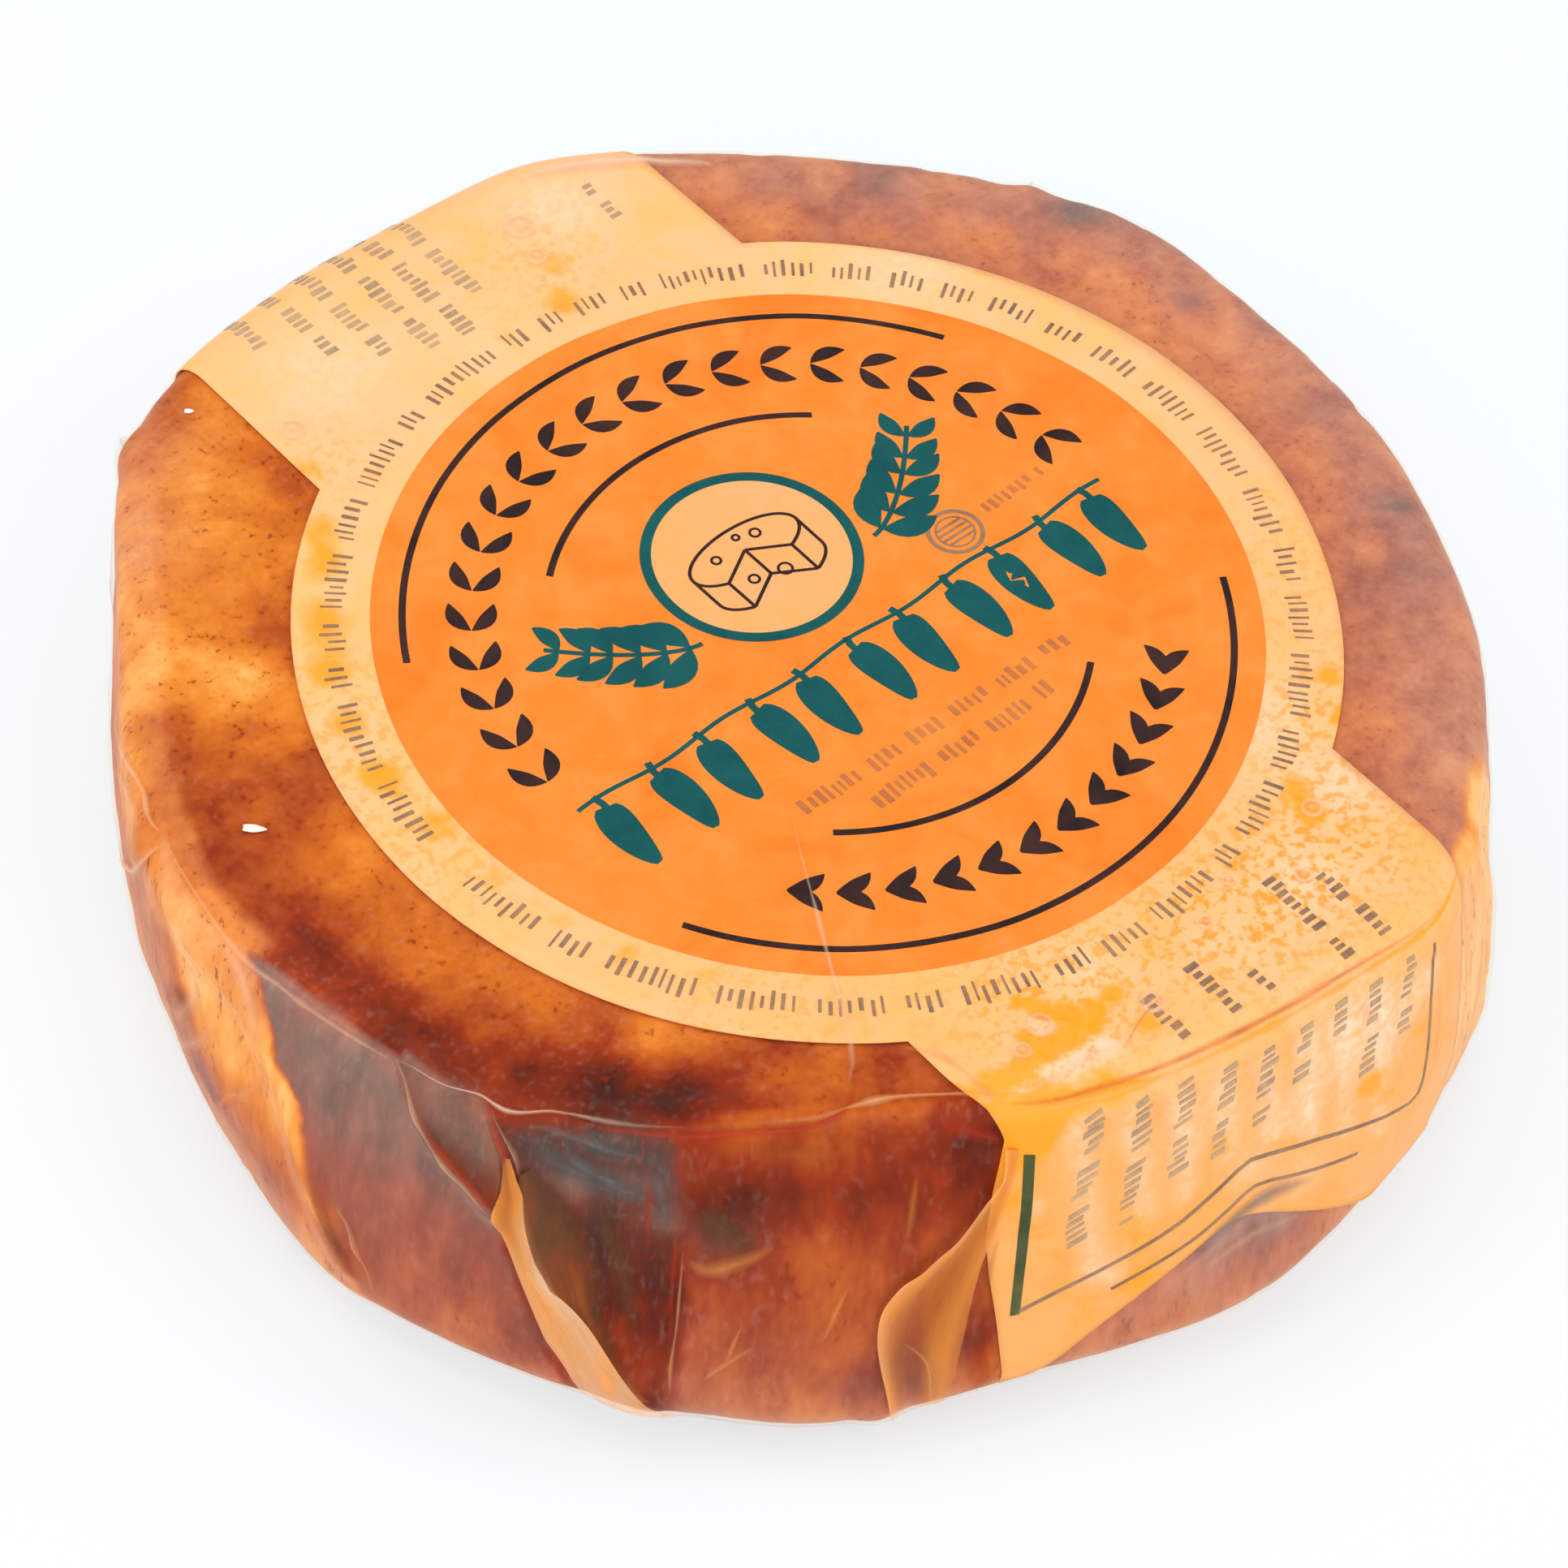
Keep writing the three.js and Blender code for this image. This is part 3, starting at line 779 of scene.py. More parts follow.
# A side of the round face: rows along the band's side, columns out to the circle
def faceSidePoints(side):
    v = np.linspace(bandReach, -bandReach, label["middleRows"])[:, None]
    shares = np.linspace(0, 1, label["sideColumns"])[None, :]
    width = np.sqrt(np.maximum(label["radius"] ** 2 - v ** 2, 0)) - label["halfWidth"]
    u = side * (label["halfWidth"] + shares * np.maximum(width, 0))
    return onLabel(u if side > 0 else u[:, ::-1], v + 0 * shares, lifts["paper"])


# Patches of one kind on the label's top and on its front end
def labelPatches(points, kind):
    onFront = gatherPatches(points, label["wall" + kind], frontPlace)
    return gatherPatches(points, label["top" + kind], topPlace) + onFront


# Masks of the paper: patches of each kind, the line of oil, and the pale columns on the front end. The pale
# mask is painted glare and sheen of the film.
def labelValues(points):
    x, y, z = points.T
    front = y < 0
    oil = labelPatches(points, "Oil")
    height, width, strength = label["oilLine"]
    oil += strength * front * np.exp(-((z - height) / width) ** 2)
    speckle = gatherPatches(points, label["speckles"], topPlace)
    (top, near, far), (wall, high, low) = label["topSoak"], label["wallSoak"]
    soak = top * smoothStep(near, far, y) + wall * front * smoothStep(high, low, z)
    pale = labelPatches(points, "PaintedGlare")
    onColumns = front * smoothStep(*label["columnStart"], z)
    onColumns = onColumns * smoothStep(*label["columnFade"], z - edgeHeight(x, label["frontEdge"]))
    width, strength = label["columnShape"]
    for place in label["columnPlaces"]:
        pale += strength * onColumns * np.exp(-((x - place) / width) ** 2)
    return {"oil": np.clip(oil, 0, 1), "speckle": np.clip(speckle, 0, 1), "pale": np.clip(pale, 0, 1),
            "soak": soak}


# The band and the sides of its face, joined and given the paper's thickness
def makeLabel():
    points, faceSets = joinGrids([bandPoints(), faceSidePoints(-1), faceSidePoints(1)])
    piece = addPiece("paperLabel", points, faceSets, makePaperMaterial(), "label_paper", labelValues(points))
    weld(piece, 0.02)
    solid = piece.modifiers.new("paperThickness", "SOLIDIFY")
    solid.thickness = label["thickness"] / 1000
    solid.offset = -1
    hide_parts("paper_label")


# Cream paper with fine fibre, soaked to orange by paprika oil where the masks say so, and lightened to a
# paler cream where the pale mask paints the film's glare
def makePaperMaterial():
    material, tree, shader = newMaterial("creamPaper")
    place = objectPlace(tree)
    blotch, dots = mottleOf(tree, place, 160.0, 1150.0)
    soak = readValue(tree, "soak")
    pale = mixColours(tree, soak, colourOf(0.92, 0.5, 0.24), colourOf(0.85, 0.38, 0.11))
    stained = mixColours(tree, soak, colourOf(0.93, 0.48, 0.16), colourOf(0.85, 0.33, 0.06))
    colour = mixColours(tree, ramp(tree, blotch, [(0.4, 0.0), (0.68, 1.0)]), pale, stained)
    # painted glare: the pale mask lifts the paper towards a pale cream where light glints off the film
    mask = calculate(tree, "MULTIPLY", readValue(tree, "pale"), ramp(tree, dots, [(0.35, 0.9), (0.6, 0.5)]))
    colour = mixColours(tree, mask, colour, colourOf(0.92, 0.66, 0.48))
    mask = ramp(tree, dots, [(0.5, 0.0), (0.62, 1.0)])
    mask = calculate(tree, "MULTIPLY", readValue(tree, "speckle"), mask)
    colour = mixColours(tree, calculate(tree, "MULTIPLY", mask, 0.85), colour, colourOf(0.92, 0.31, 0.02))
    oil = calculate(tree, "MULTIPLY_ADD", blotch, 1.2, -0.6)
    oil = ramp(tree, calculate(tree, "ADD", readValue(tree, "oil"), oil), [(0.35, 0.0), (0.7, 1.0)])
    colour = mixColours(tree, calculate(tree, "MULTIPLY", oil, 0.85), colour, colourOf(0.93, 0.33, 0.006))
    setInputs(tree, shader, {"Base Color": colour, "Roughness": ramp(tree, oil, [(0.0, 0.62), (1.0, 0.4)]),
                             "Specular IOR Level": 0.08,
                             "Normal": grainOf(tree, place, 900.0, 4200.0, 0.25, 0.0001)})
    return material


# The print

labelPrint = {
    "groundRadius": 36.6,
    # how far the layers of ink lie above the print's own lift
    "groundLift": -0.012,
    "faceLift": 0.006,
    "linesLift": 0.012,
    "drawnLift": 0.018,
    # arcs: radius, first and last turn, points
    "lineWidth": 0.6,
    "arcs": [(34, 30, 150, 60), (34, -150, -31, 60), (22.4, 50, 130, 40), (22.4, -129, -51, 40)],
    # garlands: first and last turn, pairs of leaves, which way they head; and how leaves lie off their line
    "garlandLine": 28.4,
    "garlands": [(176, 4, 21, -1), (-134, -48, 12, 1)],
    "leafLength": 3.36,
    "leafHalfWidth": 0.68,
    "leafBend": 0.12,
    "leafAside": 0.95,
    "leafTilt": 32,
    # a row of hanging pods: first and last place and height of the string, and the rise and pace of its waves
    "podRow": (-26.5, 26.5, -3.4),
    "stringWave": (0.25, 2.1),
    "stringHalfWidth": 0.2,
    "podCount": 11,
    "podLength": 6.8,
    "podHalfWidth": 1.55,
    "podBend": 1.3,
    "podLean": 13,
    "podDrop": 0.9,
    "stemHalfWidth": 0.32,
    # middle and radius of the round picture, and the sprigs beside it: where a stem starts, how far it goes,
    # and shares along it of the first and last pair of leaves
    "medallion": (0, 8.4, 8.8),
    "medallionRim": 0.95,
    "sprigStart": (0.6, -4.6),
    "sprigReach": 10.5,
    "sprigRise": 7.5,
    "sprigHalfWidth": 0.22,
    "sprigSteps": 24,
    "sprigLeaves": 6,
    "sprigSpan": (0.12, 0.94),
    "sprigLeaf": 4.6,
    "sprigTilt": 42,
    # the drawn cheese: half its width and depth, its height, its rise above the middle, and the wedge's turns
    "drawnCheese": (5.6, 2.5, 3.3),
    "drawnRise": 0.9,
    "drawnWedge": (-52, 232),
    "drawnLine": 0.15,
    "drawnEyes": [(-1.5, -2.9, 0.45), (1.3, -3.6, 0.6), (-2.6, 0.6, 0.4), (1.9, 0.9, 0.45), (0.3, 1.5, 0.3)],
    # the seal: middle and radius, rings as (share of the radius, half width, points), bars, and small print
    "seal": (15, -0.1, 2.3),
    "sealRings": [(1, 0.2, 49), (0.72, 0.1, 41)],
    "sealBars": [-0.9, -0.3, 0.3, 0.9],
    "sealBarReach": 0.7,
    "sealBarHalfWidth": 0.13,
    "sealLine": (18.6, 6.6, 0.2, 1.3),
    "sealSlope": 0.06,
    # small lines: length, height, size
    "smallLines": [(29, -14.2, 1.7), (19, -17.2, 1.7)],
    "ringText": (38.5, 40.7),
    "ringGap": (177, 184),
    "ringBar": (0.62, 0.86),
    # gap between words, and the least and most bars in one
    "ringWords": (1.3, (3, 11)),
    "lineWords": (1, (3, 9)),
    "sealWords": (0.6, (7, 9)),
    # bars: width, share of the row's height, share of it off the line, and space to the next
    "barWidth": (0.28, 0.62),
    "barTall": (0.6, 1),
    "barOffset": (-0.12, 0.12),
    "barSpace": (0.3, 0.42),
    # columns on the band: place across, start and end past the rim's start, width
    "backColumns": [
        (-17, -1.5, 5, 1.5), (-12.8, -6.5, 4.5, 1.6), (-9.1, -9.5, 5, 1.7), (-5.4, -11.5, 5.5, 1.7),
        (-2.1, -12, 5.5, 1.7), (1.4, -8.5, 5, 1.6), (17, -7, -2, 1.2)],
    "frontColumns": [
        (-6.2, -3.6, 1.6, 1.3), (-1.3, -4.6, 1.4, 1.3), (2.2, -1.6, 2, 1.2), (9.5, -8, 2.2, 1.3),
        (13.2, -6, 1.8, 1.3), (-16.6, 4.6, 17.5, 1.7), (-12.6, 4.4, 16.5, 1.7), (-8.6, 4.2, 14, 1.8),
        (-4.6, 4.6, 13, 1.7), (-0.7, 4.8, 12, 1.8), (3.2, 4.6, 9.5, 1.7), (7, 4.2, 8.5, 1.6),
        (10.8, 4.4, 13.5, 1.7), (14.6, 4.2, 11.5, 1.5)],
    # columns that start past this run lie on the wall
    "wallColumns": 4,
    # frame lines on the front end: ink, half width, corners as place across and height
    "frame": [("green", 0.38, [(-19.2, 29.6), (-20.5, 22.1), (-21.6, 13.3)]),
              ("grey", 0.2, [(-21.7, 13.4), (-8.4, 18.8), (-3, 21.6), (-1.7, 22), (0, 21.6), (5, 20.1),
                             (12.6, 17.2), (15.6, 16.4), (16.6, 16.9), (16.9, 18.2)]),
              ("grey", 0.17, [(-14.1, 13.5), (-7.2, 16.4), (-2.6, 18.8), (-1.5, 19.1), (0, 18.8), (9.6, 15)]),
              ("grey", 0.15, [(16.9, 18), (17.3, 27), (18, 32.6)])],
}


# A flat ribbon: its middle line, and its half width at each point laid off square to the line
def ribbon(line, halfWidth):
    line = np.asarray(line, float)
    along = np.gradient(line, axis=0)
    along /= np.maximum(np.hypot(along[:, 0], along[:, 1]), 1e-9)[:, None]
    across = np.stack([-along[:, 1], along[:, 0]], axis=-1) * np.broadcast_to(halfWidth, len(line))[:, None]
    return np.stack([line + across, line - across], axis=1)


# A part of a circle about the origin, from one turn to another in degrees
def arcLine(radius, start, end, count):
    angles = np.radians(np.linspace(start, end, count))
    return np.stack([radius * np.cos(angles), radius * np.sin(angles)], axis=-1)


# The direction of a turn in degrees, and a line turned by it about the origin
def heading(degrees):
    return np.array([math.cos(math.radians(degrees)), math.sin(math.radians(degrees))])


# Each point times the cosine and sine of the turn
def turned(line, degrees):
    cosine, sine = heading(degrees)
    return line @ np.array([[cosine, sine], [-sine, cosine]])


# A leaf: a bent middle line with a sine of half widths, turned and moved to its place
def leaf(place, degrees, length, halfWidth, bend):
    along = np.linspace(0, 1, 9)
    line = np.stack([length * (along - 0.5), bend * length * np.sin(math.pi * along)], axis=-1)
    width = halfWidth * np.sin(math.pi * (0.02 + 0.96 * along)) ** 0.9
    return ribbon(turned(line, degrees) + place, width)


# A round patch as rings of points about its middle
def roundPatch(middle, radius, rings, sides):
    reach = radius * np.linspace(0.002, 1, rings)[:, None]
    angles = np.linspace(0, 2 * math.pi, sides + 1)[None, :]
    return np.stack([middle[0] + reach * np.cos(angles), middle[1] + reach * np.sin(angles)], axis=-1)


# A piece of ink: grids drawn flat are laid on the label, grids that already have three coordinates stay
def addInk(name, grids, ink, extraLift=0.0):
    points, faceSets = joinGrids(grids)
    if points.shape[1] == 2:
        points = onLabel(points[:, 0], points[:, 1], lifts["print"] + extraLift)
    piece = addPiece(name, points, faceSets, ink, "label_paper")
    weld(piece)
    faceOut(piece)


# Faces of a sheet are turned to point away from the wheel: up near its top, away from its middle elsewhere
def faceOut(piece):
    work = bmesh.new()
    work.from_mesh(piece.data)
    work.normal_update()
    middle = Vector((0, 0, 0.5 * wheel["height"] / 1000))
    nearTop = (wheel["height"] - 0.6) / 1000
    for face in work.faces:
        outward = face.calc_center_median() - middle
        if face.calc_center_median().z > nearTop:
            outward = Vector((0, 0, 1))
        if face.normal.dot(outward) < 0:
            face.normal_flip()
    work.to_mesh(piece.data)
    work.free()


# Ink: blotches and worn dots of its faded colour, and clouds of a stain where one is given
def makeInk(name, colour, faded, roughness=0.5, stain=None):
    material, tree, shader = newMaterial(name)
    place = objectPlace(tree)
    blotch, dots = mottleOf(tree, place, 240.0, 2600.0)
    worn = ramp(tree, dots, [(0.32, 1.0), (0.5, 0.0)])
    base = mixColours(tree, ramp(tree, blotch, [(0.35, 0.0), (0.75, 1.0)]), colour, faded)
    base = mixColours(tree, calculate(tree, "MULTIPLY", worn, 0.35), base, faded)
    if stain:
        cloud = noiseOf(tree, place, 95.0, 3.0, 0.6, 0.8)
        base = mixColours(tree, ramp(tree, cloud, [(0.52, 0.0), (0.72, 0.8)]), base, stain)
    setInputs(tree, shader, {"Base Color": base, "Roughness": roughness, "Specular IOR Level": 0.08,
                             "Normal": grainOf(tree, place, 900.0, 4200.0, 0.2, 0.0001)})
    return material


# Rows of short bars that stand for small print: words of random length with gaps, each bar of random width
def barRow(length, generator, height, gap, word):
    bars, place = [], 0.0
    while place < length:
        for count in range(int(generator.integers(*word))):
            width = generator.uniform(*labelPrint["barWidth"])
            tall = height * generator.uniform(*labelPrint["barTall"])
            offset = generator.uniform(*labelPrint["barOffset"]) * height
            bars.append((place + width / 2, width, tall, offset))
            place += width + generator.uniform(*labelPrint["barSpace"])
        place += gap
    return [bar for bar in bars if bar[0] < length]


# One bar: three pairs of points, its width laid off along the row and its height square to it
def barGrid(place, along, width, tall):
    along = np.asarray(along, float)
    across = np.array([-along[1], along[0]])
    line = place + np.array([[-0.5], [0.0], [0.5]]) * tall * across
    return np.stack([line - along * width / 2, line + along * width / 2], axis=1)


# Pairs of leaves along the garlands, each pair headed along its line and spread to both sides
def garlandLeaves():
    settings = labelPrint
    size = (settings["leafLength"], settings["leafHalfWidth"])
    leaves = []
    for start, end, count, way in settings["garlands"]:
        for turn in np.linspace(start, end, count):
            spot = arcLine(settings["garlandLine"], turn, turn, 1)[0]
            aside = settings["leafAside"] * heading(turn)
            for side in (-1, 1):
                tilt = turn + way * (90 + side * settings["leafTilt"])
                leaves.append(leaf(spot - side * aside, tilt, *size, -side * settings["leafBend"]))
    return leaves


# All the printed shapes in their inks, laid on the label in order
def makePrint():
    settings = labelPrint
    orange = makeInk("orangeInk", colourOf(0.9, 0.215, 0.02), colourOf(0.92, 0.27, 0.048), 0.45,
                     colourOf(0.92, 0.175, 0.01))
    dark = makeInk("brownBlackInk", colourOf(0.014, 0.008, 0.01), colourOf(0.06, 0.022, 0.018))
    teal = makeInk("tealInk", colourOf(0.002, 0.07, 0.075), colourOf(0.006, 0.1, 0.1))
    cream = makeInk("creamInk", colourOf(0.8, 0.4, 0.17), colourOf(0.87, 0.38, 0.11), 0.55)
    grey = makeInk("greyInk", colourOf(0.2, 0.12, 0.08), colourOf(0.42, 0.24, 0.13))
    pale = makeInk("paleGreyInk", colourOf(0.36, 0.25, 0.16), colourOf(0.6, 0.4, 0.22))
    generator = np.random.default_rng(5)

    ground = roundPatch((0, 0), settings["groundRadius"], 30, 144)
    addInk("orangeRound", [ground], orange, settings["groundLift"])
    lines = [ribbon(arcLine(*arc), settings["lineWidth"] / 2) for arc in settings["arcs"]]
    addInk("brownLines", lines + garlandLeaves(), dark)

    # ring of small print round the face
    bars = []
    inner, outer = settings["ringText"]
    middle = (inner + outer) / 2
    gapStart, gapEnd = settings["ringGap"]
    narrow, low = settings["ringBar"]
    room = math.radians(360 - (gapEnd - gapStart)) * middle
    for place, width, tall, offset in barRow(room, generator, outer - inner, *settings["ringWords"]):
        angle = math.radians(gapStart) - place / middle
        radial = np.array([math.cos(angle), math.sin(angle)])
        bars.append(barGrid(radial * (middle + offset), (radial[1], -radial[0]), width * narrow, tall * low))
    addInk("ringBars", bars, grey)

    addPods(teal)
    addMedallion(teal, cream, dark)
    addSeal(grey)

    # two lines of small print under the row of pods, and one beside the seal
    bars = []
    for length, level, tall in settings["smallLines"]:
        for place, width, height, offset in barRow(length, generator, tall, *settings["lineWords"]):
            bars.append(barGrid((place - length / 2, level + offset), (1.0, 0.0), width, height))
    start, length, level, tall = settings["sealLine"]
    slope = settings["sealSlope"]
    for place, width, height, offset in barRow(length, generator, tall, *settings["sealWords"]):
        bars.append(barGrid((start + place, level + offset + slope * place), (1.0, slope), width, height))
    addInk("faintBars", bars, makeInk("faintInk", colourOf(0.4, 0.13, 0.05), colourOf(0.62, 0.2, 0.05)))

    addInk("backBars", columnBars(settings["backColumns"], 1, generator), pale)
    for name, onTheWall, ink in (("frontBars", False, grey), ("frontWallBars", True, pale)):
        columns = [column for column in settings["frontColumns"]
                   if (column[1] > settings["wallColumns"]) == onTheWall]
        addInk(name, columnBars(columns, -1, generator), ink)
    addFrame(grey)


# A row of paprika pods on a string: bent middle lines with widths that peak a third of the way from the stem
def addPods(ink):
    settings = labelPrint
    start, end, level = settings["podRow"]
    sag, pace = settings["stringWave"]
    string = [(place, level + sag * math.cos(place / pace)) for place in np.linspace(start - 2, end + 2, 90)]
    shapes = [ribbon(string, settings["stringHalfWidth"])]
    along = np.linspace(0, 1, 17)
    for index, place in enumerate(np.linspace(start, end, settings["podCount"])):
        side = -1 if index % 2 else 1
        bend = side * settings["podBend"]
        line = np.stack([settings["podLength"] * along, bend * along ** 2], axis=-1)
        line = turned(line, -90 - side * settings["podLean"]) + np.array([place, level - settings["podDrop"]])
        width = settings["podHalfWidth"] * np.sqrt(np.sin(math.pi * (0.03 + 0.95 * along) ** 0.62))
        stem = [(place, level - 1.2), (place, level - 0.4), (place - bend / 6, level + 0.5)]
        shapes += [ribbon(line, width), ribbon(stem, settings["stemHalfWidth"])]
    addInk("paprikaPods", shapes, ink)


# The medallion: a ringed cream round with a line drawing of a cut cheese, and a sprig of leaves on each side
def addMedallion(teal, cream, dark):
    settings = labelPrint
    x, y, radius = settings["medallion"]
    addInk("medallionFace", [roundPatch((x, y), radius, 10, 72)], cream, settings["faceLift"])
    shapes = [ribbon(np.array([x, y]) + arcLine(radius, 0, 360, 97), settings["medallionRim"] / 2)]
    aside, below = settings["sprigStart"]
    for side in (-1, 1):
        turns = np.linspace(0, 1, settings["sprigSteps"])
        stem = np.stack([x + side * (radius + aside + settings["sprigReach"] * turns),
                         y + below + settings["sprigRise"] * turns ** 1.5], axis=-1)
        shapes.append(ribbon(stem, settings["sprigHalfWidth"]))
        for share in np.linspace(*settings["sprigSpan"], settings["sprigLeaves"]):
            spot = stem[int(share * (settings["sprigSteps"] - 1))]
            climb = 1.5 * settings["sprigRise"] * share ** 0.5
            slope = math.degrees(math.atan2(climb, settings["sprigReach"]))
            size = settings["sprigLeaf"] * (1.08 - 0.4 * share)
            for lean in (-1, 1):
                tilt = (slope if side > 0 else 180 - slope) + lean * settings["sprigTilt"]
                shapes.append(leaf(spot + heading(tilt) * size * 0.55, tilt, size, size * 0.24, 0.1 * lean))
    addInk("tealLines", shapes, teal, settings["linesLift"])
    addInk("drawnCheese", drawnCheese(np.array([x, y + settings["drawnRise"]])), dark, settings["drawnLift"])


# The drawn cheese: the ellipse of its top, its side below, a wedge cut out of the front, and round eyes
def drawnCheese(heart):
    settings = labelPrint
    wide, deep, tall = settings["drawnCheese"]
    first, last = settings["drawnWedge"]
    drop = np.array([0, -tall])
    turn = np.radians(np.linspace(first, last, 60))
    top = heart + np.stack([wide * np.cos(turn), deep * np.sin(turn)], axis=-1)
    lines = [top]
    for start, end in ((first, 0), (180, last)):
        turn = np.radians(np.linspace(start, end, 16))
        lines.append(heart + np.stack([wide * np.cos(turn), deep * np.sin(turn) - tall], axis=-1))
    for spot in (top[0], top[-1], heart, heart + np.array([wide, 0]), heart - np.array([wide, 0])):
        lines.append(np.linspace(spot, spot + drop, 6))
    for spot in (top[0], top[-1]):
        lines += [np.linspace(heart, spot, 6), np.linspace(heart + drop, spot + drop, 6)]
    eyes = [heart + np.array([across, up]) + arcLine(size, 0, 360, 17)
            for across, up, size in settings["drawnEyes"]]
    return ([ribbon(line, settings["drawnLine"]) for line in lines]
            + [ribbon(eye, settings["drawnLine"] * 0.8) for eye in eyes])


# A small plain seal: rings about a row of bars
def addSeal(ink):
    settings = labelPrint
    x, y, radius = settings["seal"]
    shapes = [ribbon(np.array([x, y]) + arcLine(radius * share, 0, 360, count), halfWidth)
              for share, halfWidth, count in settings["sealRings"]]
    for level in settings["sealBars"]:
        half = math.sqrt((radius * settings["sealBarReach"]) ** 2 - level ** 2)
        line = [(x - half, y + level), (x, y + level), (x + half, y + level)]
        shapes.append(ribbon(line, settings["sealBarHalfWidth"]))
    addInk("sealRings", shapes, ink)


# Columns of small print that run along the band, over the rim and down the wall: place across, start, end
def columnBars(columns, side, generator):
    bars = []
    for across, start, end, width in columns:
        for place, step, tall, offset in barRow(end - start, generator, width, *labelPrint["lineWords"]):
            u = across + offset
            v = side * (rimReach(np.array([u + label["middle"][0]]), side)[0] + start + place)
            bars.append(barGrid((u, v), (0.0, float(side)), step, tall))
    return bars


# The printed frame on the front end: ribbons drawn in place across and height, then laid on the wall
def addFrame(grey):
    green = makeInk("frameGreen", colourOf(0.035, 0.06, 0.02), colourOf(0.12, 0.12, 0.04))
    for name, inkName, ink in (("frameThick", "green", green), ("frameThin", "grey", grey)):
        shapes = []
        for key, halfWidth, corners in labelPrint["frame"]:
            if key == inkName:
                line = [np.linspace(a, b, 14, endpoint=False) for a, b in zip(corners, corners[1:])]
                flat = ribbon(np.concatenate(line + [[corners[-1]]]), halfWidth)
                shapes.append(onWall(flat[..., 0], runOfHeight(flat[..., 1]), -1, lifts["print"]))
        addInk(name, shapes, ink)


# The clear film

film = {
    "columns": 560,
    "rows": {"top": 52, "rim": 12, "wall": 46, "base": 12, "under": 10},
    # ridges: rise, share to which heights are squeezed so that they run down the wall, size and shift of
    # their noise, runs between which they grow, and how far from the end of the run they fade
    "wrinkle": 0.12,
    "ridgeStretch": 0.22,
    "ridgeNoise": (3.4, 2.2),
    "ridgeStart": (1.0, 7.0),
    "ridgeEnd": 8,
    # turns between which the bag is gathered most, and how much of the ridges is left elsewhere
    "gathers": [(196, 186), (120, 140)],
    "ungathered": 0.35,
    "labelCalm": 0.7,
    # distance outside and inside the label's edge over which the film rises
    "edgeTent": (-1.3, 0.2),
    "clear": colourOf(1.0, 0.985, 0.96),
    "gloss": colourOf(1.0, 0.93, 0.86),
    "roughness": 0.16,
    "bend": 1.12,
    "mostMirror": 0.12,
}


# How far a point lies inside the label's outline, in millimetres, below 0 outside it
def insideLabel(points):
    x, y, z = points[..., 0], points[..., 1], points[..., 2]
    bands = []
    for side, edge in ((-1, label["frontEdge"]), (1, label["backEdge"])):
        left, right = bandSides(z, side)
        bands.append(np.minimum(np.minimum(x - left, right - x), z - edgeHeight(x, edge)))
    band = np.where(y < 0, *bands)
    face = label["radius"] - np.hypot(x - label["middle"][0], y - label["middle"][1])
    return np.where(z > wheel["height"] - 0.5, np.maximum(band, face), band)


# Share by which the film has risen to lie over the label, and its lift there
def overLabel(ground):
    cover = smoothStep(*film["edgeTent"], insideLabel(ground))
    return cover, cover * (lifts["filmOnPaper"] - lifts["film"])


# The film's skin: it rises over the label, with ridges that run down the wall where the bag was gathered
def filmPoints(angles, runs):
    ground = skinPoint(angles, runs)
    cover, risen = overLabel(ground)
    ridges = 1 - np.abs(softNoise(ground * np.array([1.0, 1.0, film["ridgeStretch"]]), *film["ridgeNoise"]))
    onSide = smoothStep(*film["ridgeStart"], runs) * smoothStep(wholeRun, wholeRun - film["ridgeEnd"], runs)
    first, second = (smoothStep(*turns, np.degrees(angles) % 360) for turns in film["gathers"])
    gathered = first * second + film["ungathered"]
    rise = film["wrinkle"] * ridges ** 3 * onSide * gathered * (1 - film["labelCalm"] * cover)
    return layerPoint(angles, runs, lifts["film"] + risen + rise, 1.0)


# Clear film: what is behind shows through, and a share of light is mirrored that grows towards the edges
def makeFilmMaterial():
    material, tree, shader = newMaterial("clearFilm")
    tree.nodes.remove(shader)
    normal = grainOf(tree, objectPlace(tree, 0.35), 130.0, 520.0, 0.35, 0.0006)
    clear = addNode(tree, "ShaderNodeBsdfTransparent", {"Color": film["clear"]})
    gloss = addNode(tree, "ShaderNodeBsdfAnisotropic",
                    {"Color": film["gloss"], "Roughness": film["roughness"], "Normal": normal})
    fresnel = addNode(tree, "ShaderNodeFresnel", {"IOR": film["bend"], "Normal": normal})
    share = calculate(tree, "MINIMUM", fresnel.outputs[0], film["mostMirror"])
    mix = addNode(tree, "ShaderNodeMixShader", {0: share, 1: clear.outputs[0], 2: gloss.outputs[0]})
    tree.links.new(mix.outputs[0], tree.nodes["Material Output"].inputs["Surface"])
    return material


# Creases and gathered flaps of the film

# Lines are (degrees round, run along the section). Creases are narrow tents: line, half width, rise, how
# solid along it, and how warm its colour is.
crease = {
    "columns": 9,
    "stepLength": 0.4,
    "leastSteps": 12,
    "clearance": 0.03,
    # powers of the ends' fading and of the tent across, how the width wanders, and how solid the edges are
    "endPower": 0.35,
    "peakPower": 1.3,
    "wander": (0.7, 0.45, 0.12, 4.4),
    "edgeSolid": 0.15,
    "wanderSolid": 0.3,
}
